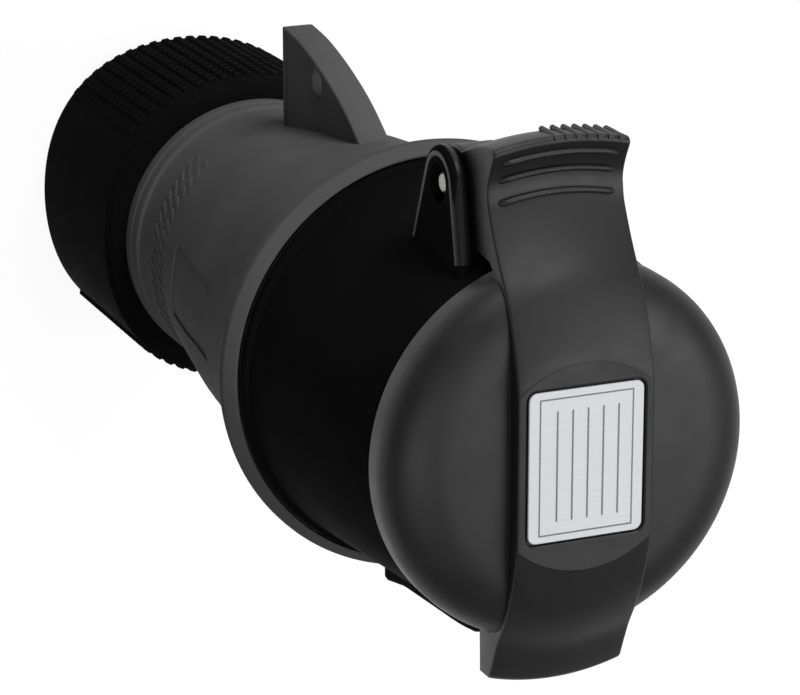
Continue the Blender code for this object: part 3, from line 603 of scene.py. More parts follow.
# %% A node tree that wraps a grid of shapes on a wall
def wrapped_grid(name, material, shape):
    """Angle and height become a place on a wall whose radius may have four corners and a slope."""
    inputs = {"Columns": 20, "Rows": 10, "Start Angle": 0.0, "Column Step": 0.1, "Start Height": 0.0}
    inputs.update({"Row Step": 0.003, "Radius": 0.03, "Corner": 0.0, "Slope": 0.0})
    tree, given = new_tree(name, inputs)

    def times(a, b):
        return calc(tree, "MULTIPLY", a, b)

    def plus(a, b):
        return calc(tree, "ADD", a, b)

    line = add_node(tree, "GeometryNodePoints", {"Count": times(given["Columns"], given["Rows"])})
    index = add_node(tree, "GeometryNodeInputIndex")
    column = calc(tree, "FLOORED_MODULO", index, given["Columns"])
    row = calc(tree, "FLOOR", calc(tree, "DIVIDE", plus(index, 0.5), given["Columns"]))
    angle = plus(given["Start Angle"], times(column, given["Column Step"]))
    across, along = calc(tree, "COSINE", angle), calc(tree, "SINE", angle)
    rise = times(row, given["Row Step"])
    four = times(calc(tree, "SUBTRACT", angle, math.radians(45.0)), 4.0)
    corner = times(given["Corner"], calc(tree, "COSINE", four))
    radius = plus(plus(given["Radius"], corner), times(given["Slope"], rise))
    height = plus(given["Start Height"], rise)
    place = {0: times(radius, across), 1: times(radius, along), 2: height}
    moved = add_node(tree, "GeometryNodeSetPosition", {
        "Geometry": line,
        "Position": add_node(tree, "ShaderNodeCombineXYZ", place),
    })
    turn = add_node(tree, "FunctionNodeAxesToRotation", {
        0: add_node(tree, "ShaderNodeCombineXYZ", {0: across, 1: along}),
        1: (0.0, 0.0, 1.0),
    }, primary_axis="Z", secondary_axis="Y")
    copies = add_node(tree, "GeometryNodeInstanceOnPoints", {
        "Points": moved,
        "Instance": shape(tree),
        "Rotation": turn,
    })
    return end_tree(tree, copies, material)


# %% [markdown]
# ## Grip bars on the neck
# Above the neck the housing has two rows of short slanted bars that a thumb can hold. Each bar
# is a low narrow block that sinks into the wall, so that only a thin ridge shows. The tree
# sets them side by side and follows the slight flare.

# %% Slanted grip bars
BAR_COLUMNS = 17
BAR_ROWS = 2
BAR_SIZE = (0.0006, 0.0046, 0.0009)
BAR_SLANT = math.radians(-32.0)
BAR_START = math.radians(131.0)
BAR_SECTOR = math.radians(78.0)
BAR_LOW_H = 53.0
BAR_ROW_STEP = 5.6
BAR_SLOPE = 0.09


def grip_bar(tree):
    bar = add_node(tree, "GeometryNodeMeshCube", {"Size": BAR_SIZE})
    slant = {0: bar, "Rotation": (0.0, 0.0, BAR_SLANT)}
    return add_node(tree, "GeometryNodeTransform", slant)


bars_tree = wrapped_grid("grip_bars_tree", GREY, grip_bar)
bars = run_tree("grip_bars", bars_tree, {
    "Columns": BAR_COLUMNS,
    "Rows": BAR_ROWS,
    "Start Angle": BAR_START,
    "Column Step": BAR_SECTOR / (BAR_COLUMNS - 1),
    "Start Height": BAR_LOW_H * MM,
    "Row Step": BAR_ROW_STEP * MM,
    "Radius": (BODY_R + 0.35) * MM,
    "Slope": BAR_SLOPE,
})
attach(bars, "housing")
measure(bars)

# %% [markdown]
# ## The cable nut
# The nut is a tube whose outside is a circle swelled towards a square, so that it doesn't
# roll. Its radius follows one cosine with four waves. The flat rear face is what the coupler
# stands on, and the exit hole widens towards it so that a bent cable isn't pinched.

# %% Nut body
NUT_R = 30.7
NUT_CORNER = 0.5
NUT_END_H = -7.0
NUT_FRONT_H = NUT_SEAT_H - 0.3
NUT_EXIT_R = 13.0
NUT_THREAD_R = SPIGOT_R + 0.5
NUT_ROOM_H = NUT_END_H + 7.2
OUTSIDE_R = 24.0


def square_rule(angle, radius, height):
    if radius > OUTSIDE_R:
        return radius + NUT_CORNER * math.cos(4.0 * (angle - math.radians(45.0)))
    return radius


nut_loop = fillet([
    (NUT_EXIT_R + 4.0, NUT_END_H, 0.5), (NUT_R - 1.4, NUT_END_H, 0.8),
    (NUT_R - 0.3, NUT_END_H + 1.2, 0.8), (NUT_R, NUT_END_H + 2.6, 0.5),
    (NUT_R, NUT_FRONT_H - 1.6, 0.8), (NUT_R - 1.1, NUT_FRONT_H, 0.7),
    (NUT_THREAD_R + 0.8, NUT_FRONT_H, 0.2), (NUT_THREAD_R, NUT_FRONT_H - 0.8, 0.2),
    (NUT_THREAD_R, NUT_ROOM_H, 0.3), (NUT_EXIT_R, NUT_ROOM_H, 0.3),
    (NUT_EXIT_R, NUT_END_H + 3.8, 0.8),
])
nut = lathe("cable_nut_skin", nut_loop, 192, square_rule)
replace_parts(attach(dress(nut, NUT_BLACK), "nut_body"), "cable_nut")
measure(nut)

# %% [markdown]
# Two opposite quarters of the nut carry rows of small raised studs for wet hands. Each stud is
# a four-sided cone with its tip cut off: only ten faces, because there are hundreds of them.

# %% Nut studs
STUD_COLUMNS = 20
STUD_ROWS = 14
STUD_ROW_STEP = 2.63
STUD_SECTOR = 94.0
STUD_TOP_R = 0.85
STUD_FOOT_R = 1.62
STUD_H = 1.0
STUD_SINK = 0.33


def stud(tree):
    cone = add_node(tree, "GeometryNodeMeshCone", {
        "Vertices": 4,
        "Radius Top": STUD_TOP_R * MM,
        "Radius Bottom": STUD_FOOT_R * MM,
        "Depth": STUD_H * MM,
    }, fill_type="NGON")
    return add_node(tree, "GeometryNodeTransform", {
        0: cone,
        "Rotation": (0.0, 0.0, math.radians(45.0)),
        "Translation": (0.0, 0.0, -STUD_SINK * MM),
    })


stud_tree = wrapped_grid("nut_studs_tree", NUT_BLACK, stud)
for side, middle in (("top", 90.0), ("bottom", 270.0)):
    studs = run_tree("nut_studs_" + side, stud_tree, {
        "Columns": STUD_COLUMNS,
        "Rows": STUD_ROWS,
        "Start Angle": math.radians(middle - STUD_SECTOR / 2.0),
        "Column Step": math.radians(STUD_SECTOR) / (STUD_COLUMNS - 1),
        "Start Height": (NUT_END_H + 4.0) * MM,
        "Row Step": STUD_ROW_STEP * MM,
        "Radius": NUT_R * MM,
        "Corner": NUT_CORNER * MM,
    })
    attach(studs, "nut_body")
    measure(studs)

# %% [markdown]
# ## The black front housing
# A tapered collar stands around the contacts, with a ring that closes against the grey flange
# and a stepped mouth under the lid. It is a turned shape again, and its loop runs up the
# outside and back down the bore to the floor that holds the contact carrier.

# %% Collar
RING_R = 36.3
COLLAR_BORE_R = 28.0
COLLAR_FLOOR_H = 133.5
CARRIER_WAY_R = 22.7
collar_loop = fillet([
    (31.2, 116.0), (34.2, 116.0, 0.4), (34.2, 125.3, 0.2), (RING_R, 125.3, 0.3),
    (RING_R, 127.3, 0.7), (35.4, 127.5, 0.3), (35.2, 128.6, 0.5), (31.9, 171.8, 0.4),
    (30.9, 172.2, 0.3), (30.3, 176.8, 0.3), (29.9, MOUTH_H, 0.1), (28.4, MOUTH_H, 0.2),
    (COLLAR_BORE_R, 176.4, 0.3), (COLLAR_BORE_R, COLLAR_FLOOR_H, 0.6),
    (CARRIER_WAY_R, COLLAR_FLOOR_H, 0.2), (CARRIER_WAY_R, COLLAR_FLOOR_H - 2.5),
    (31.2, COLLAR_FLOOR_H - 2.5),
])
front = lathe("front_housing_skin", collar_loop, 160)
measure(front)

# %% [markdown]
# Opposite the hinge a raised pad covers the keyway, a slot that lets the plug in at one angle
# only. The pad's side is a smooth line through measured points. It is joined first and the
# slot is cut afterwards, because the real slot runs inside the pad's wall.

# %% Key pad and keyway
PAD_HALF = 11.0
MOULD_EDGE = 1.1
pad_side = curve_through([
    (-38.6, 129.2), (-38.0, 132.0), (-37.1, 136.5), (-36.7, 141.0),
    (-36.0, 150.0), (-35.2, 160.0), (-34.3, 166.0),
], 3)
pad_loop = [(-30.4, 133.5), (-32.2, 131.5), (-32.2, 127.9), (-38.2, 127.9)] + pad_side
pad_loop += [(-33.3, 168.6), (-32.4, 169.6), (-30.4, 169.8)]
join(front, plate("key_pad", pad_loop, -PAD_HALF, PAD_HALF, MOULD_EDGE, 4))
measure(front)

# %% [markdown]
# Two ears carry the hinge pin. Each is a plate whose end is an arc around the pin, with a
# wider seat for the pin's head. The arc has its own helper, because the soft rim that is laid
# on the ears later follows the same arc a little further in.

# %% Hinge ears
PIN_Y = 42.3
PIN_H = 161.0
PIN_R = 2.3
PIN_GAP = 0.3
PIN_SEAT = 1.2
EAR_R = 6.2
EAR_T = 2.8
STRAP_W = 24.0
EAR_IN = STRAP_W / 2.0 + 0.4
ARC_STEPS = 24


def ear_arc(reach):
    """Points round the pin, from the ear's upper edge over its end to its lower edge."""
    turns = [math.radians(70.0 - 132.0 * k / ARC_STEPS) for k in range(ARC_STEPS + 1)]
    return [(PIN_Y + reach * math.cos(a), PIN_H + reach * math.sin(a)) for a in turns]


def pin_way(name, radius):
    return rod(name, (-20.0, PIN_Y, PIN_H), (20.0, PIN_Y, PIN_H), radius)


ear_loop = [(28.0, 169.6), (30.2, 169.2)] + ear_arc(EAR_R) + [(30.8, 149.4), (28.0, 148.6)]
for side in (-1.0, 1.0):
    x0 = min(side * EAR_IN, side * (EAR_IN + EAR_T))
    join(front, plate("ear", ear_loop, x0, x0 + EAR_T, MOULD_EDGE, 4))
    face = side * (EAR_IN + EAR_T)
    deep = (face - side * PIN_SEAT, PIN_Y, PIN_H)
    cut(front, rod("pin_seat", deep, (face + side, PIN_Y, PIN_H), PIN_R + 0.9))
cut(front, pin_way("pin_bore", PIN_R + PIN_GAP))
keyway = [(-29.6, 135.5), (-20.0, 135.5), (-20.0, 182.0), (-29.6, 182.0)]
cut(front, plate("key_slot", keyway, -2.5, 2.5))
soften(front)
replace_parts(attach(dress(front, BLACK), "housing"), "front_housing")
measure(front)

# %% [markdown]
# The hinge pin is a plain steel bar with chamfered ends, set back a little in its seats.

# %% Hinge pin
PIN_SET_BACK = 0.8
pin_end = EAR_IN + EAR_T - PIN_SET_BACK
pin = rod("hinge_pin_turned", (-pin_end, PIN_Y, PIN_H), (pin_end, PIN_Y, PIN_H), PIN_R, 64, 0.9)
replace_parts(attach(dress(pin, STEEL), "housing"), "hinge_pin")
print("hinge pin: %.1f mm long" % (2.0 * pin_end))

# %% [markdown]
# ## The sprung lid
# The lid is a shallow dome with a wide strap across it. The dome is turned: a quarter of an
# ellipse for the shoulder, a very flat crown, and inside it a thinner copy of the same curve
# with the groove for the gasket.

# %% Dome
LID_R = 32.4
LID_RIM_H = 173.0
LID_BASE_H = 176.0
SHOULDER_R = 21.0
SHOULDER_RISE = 6.7
CROWN_RISE = 0.6
STRAP_FACE_H = 185.8
FACET_R = 17.5


def dome_height(radius, drop=0.0):
    if radius > SHOULDER_R:
        part = (radius - SHOULDER_R) / (LID_R - SHOULDER_R)
        return LID_BASE_H - drop + SHOULDER_RISE * math.sqrt(max(0.0, 1.0 - part * part))
    return LID_BASE_H - drop + SHOULDER_RISE + CROWN_RISE * (1.0 - (radius / SHOULDER_R) ** 2)


shoulder = [SHOULDER_R + (LID_R - SHOULDER_R) * math.sin(math.radians(a)) for a in range(84, 0, -6)]
crown = [20.0, 17.0, 14.0, 11.0, 8.0, 5.0, 2.5, 0.0]
LID_WALL = 2.0
LID_BORE_R = 31.4
LID_SEAT_H = 178.55
dome_loop = fillet([(LID_BORE_R, LID_RIM_H, 0.3), (LID_R, LID_RIM_H, 0.35), (LID_R, LID_BASE_H)])
dome_loop += [(r, dome_height(r)) for r in shoulder + crown]
dome_loop += [(r, dome_height(r, LID_WALL)) for r in (0.0, 7.0, 14.0, 21.0, 25.0)]
dome_loop += [(26.6, LID_SEAT_H), (30.5, LID_SEAT_H), (LID_BORE_R, 177.2)]
lid = lathe("lid_skin", dome_loop, 192)
measure(lid)

# %% [markdown]
# The strap ends in a thumb lever behind the hinge and in a short tab at the front, and both
# leave the flat round facet as a hollow sweep. From the side that is one outline: the part that
# shows runs from the tab to the back of the lever, the hidden part closes it inside the dome.

# %% Side outline of strap, lever and tab
LEVER_R = 52.1
TAB_R = 40.6
TAB_BACK_H = 171.5
BARREL_R = 6.0
facet_edge = [(FACET_R, STRAP_FACE_H), (17.75, STRAP_FACE_H - 0.08)]
strap_up = curve_through(facet_edge + [
    (20.0, 185.2), (24.0, 183.8), (28.0, 182.1), (30.5, 180.7),
    (33.0, 178.9), (36.0, 176.9), (39.5, 174.9), (42.0, 173.7),
    (44.0, 173.2), (46.0, 173.3), (48.0, 174.0), (49.9, 174.95),
], 3)
strap_down = curve_through(facet_edge + [
    (20.0, 185.15), (23.0, 184.2), (26.5, 182.8), (30.0, 180.9),
    (33.5, 178.7), (37.0, 177.0),
], 3)
lever_back = fillet([
    strap_up[-2],
    (LEVER_R, 176.2, 1.6), (LEVER_R - 0.1, 172.0), (LEVER_R - 0.9, 168.2),
    (LEVER_R - 2.3, 164.4), (PIN_Y + BARREL_R, PIN_H),
], 6, False)
tab = fillet([(TAB_R, TAB_BACK_H, 0.8), (TAB_R, 175.4, 1.3)] + strap_down[::-1], 4, False)
shown = [(-r, h) for r, h in tab] + [(y, STRAP_FACE_H) for y in (-17.3, -9.0, 0.0, 9.0, 17.3)]
shown += strap_up[:-1] + lever_back[1:]
in_wall = [
    (31.9, 175.6), (31.8, 177.2), (31.15, 178.35), (29.4, 179.2),
    (26.0, 180.6), (20.0, 181.6), (10.0, 182.1),
]
hidden = [(36.6, PIN_H), (36.0, 164.0), (34.9, 170.0), (34.5, 174.2), (33.4, 175.6)] + in_wall
hidden += [(0.0, 182.2)] + [(-y, h) for y, h in reversed(in_wall)]
hidden += [(-32.9, 175.4), (-32.9, TAB_BACK_H)]
print("strap outline:", len(shown), "points shown,", len(hidden), "hidden")

# %% [markdown]
# Seen from above, the tab and the lever end in arcs. So each point of the outline moves along
# a circle as it goes out to the strap's side. Near the sides the outline is pulled in by a
# quarter circle, which gives a rounded edge all the way round without any bevel.

# %% Strap solid
STRAP_EDGE = 0.4


def strap_solid(name, shown, covered, half, edge):
    """One closed loop repeated across the width, pulled in by a quarter circle at the sides."""
    loop = [Vector(p) for p in shown + covered]
    count = len(loop)
    normals = []
    for i in range(count):
        along = (loop[(i + 1) % count] - loop[i]).normalized() + (loop[i] - loop[i - 1]).normalized()
        along.normalize()
        normals.append(Vector((along.y, -along.x)))
    after = loop[1:] + loop[:1]
    area = sum(a.x * b.y - b.x * a.y for a, b in zip(loop, after))
    sign = -1.0 if area > 0 else 1.0
    turns = [math.radians(a) for a in (90.0, 70.0, 50.0, 30.0, 15.0, 0.0)]
    right = [(half - edge + edge * math.sin(t), edge * (1.0 - math.cos(t))) for t in turns]
    flat = [((half - edge) * (1.0 - k / 10.0), 0.0) for k in range(1, 10)]
    columns = right + flat
    columns = columns + [(0.0, 0.0)] + [(-x, d) for x, d in reversed(columns)]
    points = []
    for x, inset in columns:
        for i in range(count):
            p = loop[i] + (normals[i] * sign * inset if i < len(shown) else Vector((0.0, 0.0)))
            reach = abs(p.x)
            if reach > FACET_R:
                y = math.copysign(math.sqrt(reach * reach - x * x), p.x)
            else:
                y = p.x * math.sqrt(FACET_R * FACET_R - x * x) / FACET_R
            points.append((x, y, p.y))
    last = (len(columns) - 1) * count
    caps = [tuple(range(count)), tuple(last + i for i in reversed(range(count)))]
    return finish(name, points, caps + bands(len(columns), count))


half = STRAP_W / 2.0
strap = strap_solid("strap", shown, hidden, half, STRAP_EDGE)
join(strap, rod("barrel", (-half, PIN_Y, PIN_H), (half, PIN_Y, PIN_H), BARREL_R, 96, 0.5))
join(lid, strap)
measure(lid)

# %% [markdown]
# Three things are cut from the lid: the seat of the plate with its chamfered rim, the pin's
# bore, and the pocket for the closing spring. The seat is a stack of rounded rectangles at
# rising heights, and the plate itself is later made with the same function.

# %% Seat of the plate, pin bore and spring pocket
PLATE_W = 20.2
PLATE_L = 25.4
PLATE_T = 0.45
PLATE_CORNER = 1.4
PLATE_Y = 0.7
PLATE_SINK = 0.35
PLATE_FLOOR = STRAP_FACE_H - PLATE_T - PLATE_SINK
POCKET_HALF = 5.2


def rounded(grow, steps=6):
    """The plate's outline, wider by grow on every side."""
    out = []
    w = PLATE_W / 2.0 + grow
    l = PLATE_L / 2.0 + grow
    c = PLATE_CORNER + grow
    for sx, sy, start in ((1, 1, 0), (-1, 1, 90), (-1, -1, 180), (1, -1, 270)):
        for i in range(steps + 1):
            a = math.radians(start + 90.0 * i / steps)
            out.append((sx * (w - c) + c * math.cos(a), PLATE_Y + sy * (l - c) + c * math.sin(a)))
    return out


def stack(name, levels):
    """Closed solid from outlines of equal count at rising heights."""
    points = [(x, y, h) for outline, h in levels for x, y in outline]
    count = len(levels[0][0])
    last = (len(levels) - 1) * count
    caps = [tuple(reversed(range(count))), tuple(range(last, last + count))]
    return finish(name, points, caps + bands(len(levels), count))


cut(lid, stack("plate_seat", [
    (rounded(0.4), PLATE_FLOOR),
    (rounded(0.4), STRAP_FACE_H - 0.25),
    (rounded(0.65), STRAP_FACE_H + 0.01),
    (rounded(0.65), STRAP_FACE_H + 1.0),
]))
cut(lid, pin_way("pin_bore", PIN_R + PIN_GAP))
cut(lid, block("pocket", -POCKET_HALF, POCKET_HALF, 30.0, 60.0, 150.0, PIN_H + POCKET_HALF))
soften(lid, 35.0)
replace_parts(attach(dress(lid, LID_BLACK), "lid_body"), "lid")
measure(lid)

# %% [markdown]
# ## Ribs that follow a path
# The ears' rims, the lever's ribs and teeth and the closing spring are lines with a round
# section. One tree turns edges into a curve, sweeps a circle along it and closes the ends. A
# curve object with a bevel could do it too, but the tree's sizes are named inputs.

# %% A node tree that sweeps a round section
def sweep_tree(name, material):
    tree, given = new_tree(name, {"Wire Radius": 0.0005, "Sides": 10})
    line = add_node(tree, "GeometryNodeMeshToCurve", {"Mesh": given["Geometry"]})
    section = {"Resolution": given["Sides"], "Radius": given["Wire Radius"]}
    ring = add_node(tree, "GeometryNodeCurvePrimitiveCircle", section)
    tube = add_node(tree, "GeometryNodeCurveToMesh", {
        "Curve": line,
        "Profile Curve": ring,
        "Fill Caps": True,
    })
    smooth = add_node(tree, "GeometryNodeSetShadeSmooth", {"Geometry": tube})
    return end_tree(tree, smooth, material)


def sweep(name, tree, radius, sides, paths):
    points = []
    edges = []
    for path in paths:
        start = len(points)
        points += path
        edges += [(start + i, start + i + 1) for i in range(len(path) - 1)]
    values = {"Wire Radius": radius * MM, "Sides": sides}
    return run_tree(name, tree, values, drawn_mesh(name, points, edges, []))


# %% [markdown]
# The ears end in a thick half-round rim that catches the light as a soft line. It is a tube
# laid along the ear's arc, just inside its edge. Ears and housing are one moulding, but the rim
# gets a lighter, glossier copy of the housing's black: a painted highlight.

# %% Ear hoops
HOOP_R = 1.45
HOOP_PROUD = 0.05
hoop_paths = []
for side in (-1.0, 1.0):
    x = side * (EAR_IN + EAR_T / 2.0)
    arc = ear_arc(EAR_R - HOOP_R + HOOP_PROUD)
    hoop_paths.append([(x, y, h) for y, h in [(30.4, 168.1)] + arc + [(30.9, 151.0)]])
hoops = sweep("ear_hoops", sweep_tree("hoop_sweep_tree", EAR_RIM_LIT_BLACK), HOOP_R, 24, hoop_paths)
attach(hoops, "housing")
measure(hoops)

# %% [markdown]
# Three thin ribs cross the lever as arcs around the coupler's axis. Their height is read off
# the lever's own outline, and their ends dip into it. Small teeth stand side by side at the
# lever's end, for a grip when the lid is pushed open.

# %% Lever ribs and teeth
RIB_RADII = (42.6, 46.2, 49.2)
RIB_SPAN = 19.6
RIB_STEPS = 28
RIB_R = 0.55
RIB_RISE = 0.25
TOOTH_COUNT = 7
TOOTH_STEP = 1.9
TOOTH_FIRST_X = -1.0
TOOTH_ARC_R = 51.9
TOOTH_R = 0.52


def lever_height(radius):
    """Height of the lever's top face at a radius, read off its own outline."""
    for (r0, h0), (r1, h1) in zip(strap_up, strap_up[1:]):
        if r0 <= radius <= r1:
            return h0 + (h1 - h0) * (radius - r0) / (r1 - r0)
    return strap_up[-1][1]


rib_paths = []
for radius in RIB_RADII:
    path = []
    for k in range(RIB_STEPS + 1):
        x = RIB_SPAN * (k / RIB_STEPS - 0.5)
        dip = 0.5 if k in (0, RIB_STEPS) else 0.0
        height = lever_height(radius) + RIB_RISE - dip
        path.append((x, math.sqrt(radius * radius - x * x), height))
    rib_paths.append(path)
lever_tree = sweep_tree("rib_sweep_tree", LID_BLACK)
ribs = sweep("lever_ribs", lever_tree, RIB_R, 12, rib_paths)
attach(ribs, "lid_body")
teeth_paths = []
for k in range(TOOTH_COUNT):
    x = TOOTH_FIRST_X + TOOTH_STEP * k
    y = math.sqrt(TOOTH_ARC_R ** 2 - x * x)
    teeth_paths.append([(x, y, 169.6), (x, y, 172.5), (x, y - 0.1, 175.7)])
teeth = sweep("lever_teeth", lever_tree, TOOTH_R, 10, teeth_paths)
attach(teeth, "lid_body")
measure(ribs)
measure(teeth)

# %% [markdown]
# The closing spring sits in the lid's pocket, coiled round the pin. One leg rests on the
# collar and the other in the lid. A helix needs no tool of its own: a circle in Y and height
# that moves on along X gives its points.

# %% Closing spring
WIRE_R = 0.45
COIL_R = 3.85
COIL_HALF = 4.3
TURNS = 5.5
STEPS_A_TURN = 32
coil = [(-COIL_HALF, 35.4, 148.0), (-COIL_HALF, 37.2, 154.5)]
steps = int(TURNS * STEPS_A_TURN)
for i in range(steps + 1):
    a = math.radians(180.0) + 2.0 * math.pi * TURNS * i / steps
    x = -COIL_HALF + 2.0 * COIL_HALF * i / steps
    coil.append((x, PIN_Y + COIL_R * math.cos(a), PIN_H + COIL_R * math.sin(a)))
coil.append((COIL_HALF, PIN_Y + COIL_R, PIN_H + 1.5))
spring = sweep("closing_spring", sweep_tree("spring_sweep_tree", SPRING_STEEL), WIRE_R, 12, [coil])
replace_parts(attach(spring, "housing"), "lid_spring")
measure(spring)

# %% [markdown]
# ## The rating plate
# A thin pale plate sits in the strap's recess. Its film has a faint sheen and a fine
# horizontal brush. The finish draws the brush with noise that is stretched a lot more along
# one axis than along the others.

# %% Plate
FILM_DARK = (0.665, 0.67, 0.7)
FILM_LIGHT = (0.71, 0.715, 0.745)
PLATE_LIFT = 0.3
FILM, tree, shader = new_material("plate_film", (0.7, 0.705, 0.735), 0.38, specular=0.3)
brush = noise_at(tree, object_place(tree, (350.0, 5200.0, 350.0)), 1.0, 4.0)
patch = noise_at(tree, object_place(tree), 120.0)
fill(shader, {
    "Base Color": tint(tree, brush, FILM_DARK, FILM_LIGHT),
    "Roughness": spread(tree, patch, 0.3, 0.42),
})
PLATE_TOP = PLATE_FLOOR + PLATE_LIFT + PLATE_T
rating = stack("rating_plate_film", [
    (rounded(-0.08), PLATE_FLOOR + PLATE_LIFT),
    (rounded(0.0), PLATE_FLOOR + PLATE_LIFT + 0.08),
    (rounded(0.0), PLATE_TOP - 0.1),
    (rounded(-0.1), PLATE_TOP),
])
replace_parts(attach(dress(rating, FILM), "lid_body"), "rating_plate")
measure(rating)

# %% [markdown]
# A plain frame and five ruled lines are printed on the film. An image would be simpler, but a
# printed line that is a very thin block also reaches the exported mesh. Each block is joined
# to the first, so that the print is one piece.

# %% Ruled lines
INK_RISE = 0.03
INK_SINK = 0.02
LINE_W = 0.3
rules = [
    (-8.3, -8.05, -10.6, 12.0), (8.05, 8.3, -10.6, 12.0), (-8.3, 8.3, -10.85, -10.6),
    (-8.3, 8.3, 12.0, 12.25),
]
rules += [(x, x + LINE_W, -8.6, 10.0) for x in (-5.3, -2.6, 0.1, 2.8, 5.5)]
parts = [block("ruled_lines", *rule, PLATE_TOP - INK_SINK, PLATE_TOP + INK_RISE) for rule in rules]
ink_lines = parts[0]
join(ink_lines, *parts[1:])
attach(dress(ink_lines, INK), "lid_body")
measure(ink_lines)

# %% [markdown]
# ## Inside the mouth
# With the lid open the contact carrier shows: a round insulator with four chamfered holes, the
# earth contact's wider than the rest, and brass sleeves set deep in them. Each hole and its
# sleeve are turned about their own centre, which the lathe takes as a last value.

# %% Carrier and sleeves
CARRIER_R = 22.3
CARRIER_FACE_H = 172.0
CARRIER_FLANGE_R = 30.6
PITCH_R = 13.0
SCREW_R = 1.7
SCREW_H = 118.0
SCREW_WAY_X = 26.9
SLEEVE_LOW_H = 112.0
SLEEVE_HIGH_H = 169.0
CONTACTS = [
    ("phase_sleeve_1", 60.0, 2.5),
    ("phase_sleeve_2", 150.0, 2.5),
    ("phase_sleeve_3", -30.0, 2.5),
    ("earth_sleeve_e", -120.0, 3.5),
]
carrier = lathe("contact_carrier_block", fillet([
    (0.0, 123.0), (20.0, 123.0, 0.5), (20.0, 126.7, 0.3), (CARRIER_FLANGE_R, 126.7, 0.3),
    (CARRIER_FLANGE_R, 130.7, 0.3), (CARRIER_R, 130.7, 0.3),
    (CARRIER_R, CARRIER_FACE_H, 1.0), (0.0, CARRIER_FACE_H),
]), 128)
for name, angle, pin_radius in CONTACTS:
    a = math.radians(angle)
    cx = PITCH_R * math.cos(a)
    cy = PITCH_R * math.sin(a)
    inner = pin_radius + 0.1
    cut(carrier, lathe("entry", [
        (0.0, 109.0), (inner + 1.4, 109.0), (inner + 1.4, 169.3), (inner + 0.4, 169.3),
        (inner + 0.4, CARRIER_FACE_H - 0.9), (inner + 1.4, CARRIER_FACE_H + 0.1),
        (inner + 1.4, CARRIER_FACE_H + 1.0), (0.0, CARRIER_FACE_H + 1.0),
    ], 48, centre=(cx, cy)))
    out = Vector((math.cos(a), math.sin(a), 0.0))
    level = Vector((0.0, 0.0, SCREW_H))
    sleeve = lathe(name + "_turned", fillet([
        (0.0, 124.0), (SCREW_R, 124.0), (SCREW_R, SLEEVE_LOW_H),
        (inner + 1.1, SLEEVE_LOW_H, 0.3), (inner + 1.1, SLEEVE_HIGH_H, 0.4),
        (inner, SLEEVE_HIGH_H, 0.5), (inner, 128.0), (0.0, 127.0),
    ]), 48, centre=(cx, cy))
    cut(sleeve, rod("cross", out * PITCH_R + level, out * 25.0 + level, SCREW_R, 24))
    soften(sleeve)
    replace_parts(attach(dress(sleeve, BRASS), "housing"), name)
for x in (-SCREW_WAY_X, SCREW_WAY_X):
    cut(carrier, rod("screw_way", (x, 0.0, 125.0), (x, 0.0, 132.0), 1.5, 24))
soften(carrier)
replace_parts(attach(dress(carrier, CARRIER_BLACK), "housing"), "contact_carrier")
measure(carrier)

# %% [markdown]
# The gasket is a flat rubber ring in the lid's groove. When the lid is shut it lies on the
# collar's rim and keeps the water out.

# %% Gasket
GASKET_IN_R = 27.0
GASKET_OUT_R = 30.4
gasket = lathe("lid_gasket_ring", fillet([
    (GASKET_IN_R, 177.3, 0.35), (GASKET_OUT_R, 177.3, 0.35), (GASKET_OUT_R, 178.4, 0.2),
    (GASKET_IN_R, 178.4, 0.2),
]), 128)
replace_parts(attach(dress(gasket, RUBBER), "lid_body"), "lid_gasket")
measure(gasket)

# %% [markdown]
# The pieces that only peep out through the nut or between the housings keep their packed
# shape and just get their own finish.

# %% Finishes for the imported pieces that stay
KEPT = {
    "thrust_ring": DARK_RING,
    "clamp_cage": NATURAL,
    "cable_seal": RUBBER,
    "housing_seal": RUBBER,
}
KEPT.update({"terminal_screw_" + mark: STEEL for mark in "123e"})
KEPT.update({"carrier_screw_" + mark: STEEL for mark in "12"})
for name, mat in KEPT.items():
    dress(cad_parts[name], mat)
print(len(KEPT), "packed pieces dressed")

# %% [markdown]
# ## Floor, light and camera
# The coupler stands on its nut on a white floor. Stronger lamps would bleach the coupler too,
# so the floor's own colour is dark, and a glow is added only for rays that come from the
# camera or from a glossy or clear surface. The glow is a little under 1 and the lamps fill the
# rest, so that the floor still takes a soft shadow.

# %% Floor
FLOOR_LIFT = 0.92
FLOOR_HALF = 40.0
FLOOR_COLOR = (0.12, 0.12, 0.12)
floor_mesh = bpy.data.meshes.new("floor")
corners = [(x * FLOOR_HALF, y * FLOOR_HALF, 0.0) for x, y in ((-1, -1), (1, -1), (1, 1), (-1, 1))]
floor_mesh.from_pydata(corners, [], [(0, 1, 2, 3)])
floor = placed("floor", floor_mesh)
floor_mat, tree, shader = new_material("pale_floor", FLOOR_COLOR, 0.9, specular=0.1)
rays = tree.nodes.new("ShaderNodeLightPath").outputs
seen = calc(tree, "MAXIMUM", rays["Is Camera Ray"], rays["Is Glossy Ray"])
through = calc(tree, "MAXIMUM", seen, rays["Is Transmission Ray"])
glow = add_node(tree, "ShaderNodeEmission", {"Strength": calc(tree, "MULTIPLY", through, FLOOR_LIFT)})
both = add_node(tree, "ShaderNodeAddShader", {0: shader.outputs[0], 1: glow})
fill(tree.nodes["Material Output"], {"Surface": both})
dress(floor, floor_mat)
floor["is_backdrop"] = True
print("floor %.0f m wide" % (2.0 * FLOOR_HALF))

# %% [markdown]
# An even dim sky fills the shadows. Three large round lamps give the plain studio light: the
# key from the hinge side models the grey body, the sheen lamp stands across from the camera
# and lies on the dome as its wide highlight, and a weak fill opens the side away from the
# hinge. Large lamps near the object throw soft edges without many samples.

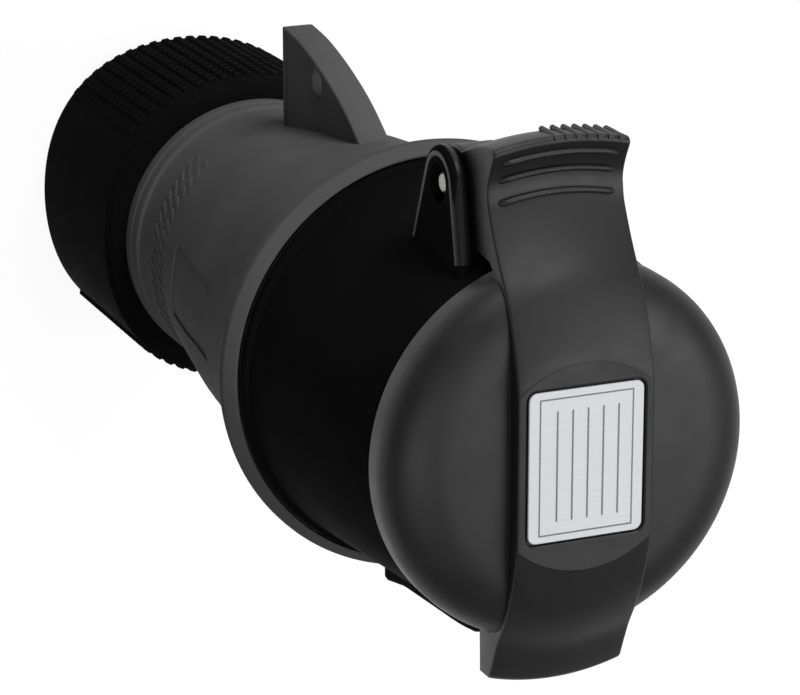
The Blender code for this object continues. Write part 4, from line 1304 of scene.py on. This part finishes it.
# %% Sky and lamps
SKY_STRENGTH = 0.13
LAMP_AIM = Vector((0.0, 0.0, 0.1))
world = bpy.data.worlds.new("studio")
bpy.context.scene.world = world
world.use_nodes = True
sky = {"Color": (1.0, 1.0, 1.0, 1.0), "Strength": SKY_STRENGTH}
fill(world.node_tree.nodes["Background"], sky)


def lamp(name, location, size, power):
    data = bpy.data.lights.new(name, "AREA")
    data.shape = "DISK"
    data.size = size
    data.energy = power
    ob = placed(name, data)
    ob.location = location
    ob.rotation_mode = "QUATERNION"
    ob.rotation_quaternion = (LAMP_AIM - Vector(location)).to_track_quat("-Z", "Y")
    print("%s lamp: %.1f m wide, %.1f W" % (name, size, power))


lamp("key", (0.29, 1.68, 1.06), 1.0, 18.0)
lamp("sheen", (0.92, -0.04, 1.62), 1.5, 18.0)
lamp("fill", (-0.72, -0.4, 1.69), 0.8, 5.5)

# %% [markdown]
# The photograph looks at the lid end of a coupler that lies on its side. Direction, distance
# and lens were found from the ellipses of the round rims. Here the coupler stands, so the view
# is turned with it: the camera looks down along the axis.

# %% Camera
AZIMUTH = math.radians(-23.0)
ELEVATION = math.radians(17.8)
DISTANCE = 567.0
AIM_RIGHT = -25.9
AIM_UP = 16.3
LENS_PX = 3500.0
PHOTO_W = 800.0
SENSOR = 36.0
LID_TOP_H = 176.0
flat = math.cos(ELEVATION)
back = Vector((math.sin(AZIMUTH) * flat, -math.cos(AZIMUTH) * flat, math.sin(ELEVATION)))
right = Vector((math.cos(AZIMUTH), math.sin(AZIMUTH), 0.0))
up = back.cross(right)
spot = right * AIM_RIGHT + up * AIM_UP + back * DISTANCE


def stand_up(v):
    """The picture shows the coupler lying along Y; the frame has it standing along Z."""
    return Vector((v.x, v.z, -v.y))


camera_data = bpy.data.cameras.new("camera")
camera_data.sensor_width = SENSOR
camera_data.lens = LENS_PX / PHOTO_W * SENSOR
camera_data.clip_start = 0.05
camera_data.clip_end = 20.0
camera = placed("camera", camera_data)
matrix = Matrix((stand_up(right), stand_up(up), stand_up(back))).transposed().to_4x4()
matrix.translation = Vector((spot.x, spot.z + AXIS_Y, LID_TOP_H - spot.y + FLOOR)) * MM
camera.matrix_world = matrix
bpy.context.scene.camera = camera
bpy.context.scene.view_settings.view_transform = "Standard"
print("camera %.2f m above the floor" % matrix.translation.z)

# %% [markdown]
# Last, the size of the dressed coupler is set beside the imported one. They should agree, since
# the looks never change the object's size.

# %% Sizes beside the imported part
low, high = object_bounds()
for axis, a, b, c, d in zip("xyz", cad_low, low, cad_high, high):
    print("%s  low %+.2f mm inside, high %+.2f mm inside" % (axis, (b - a) / MM, (c - d) / MM))
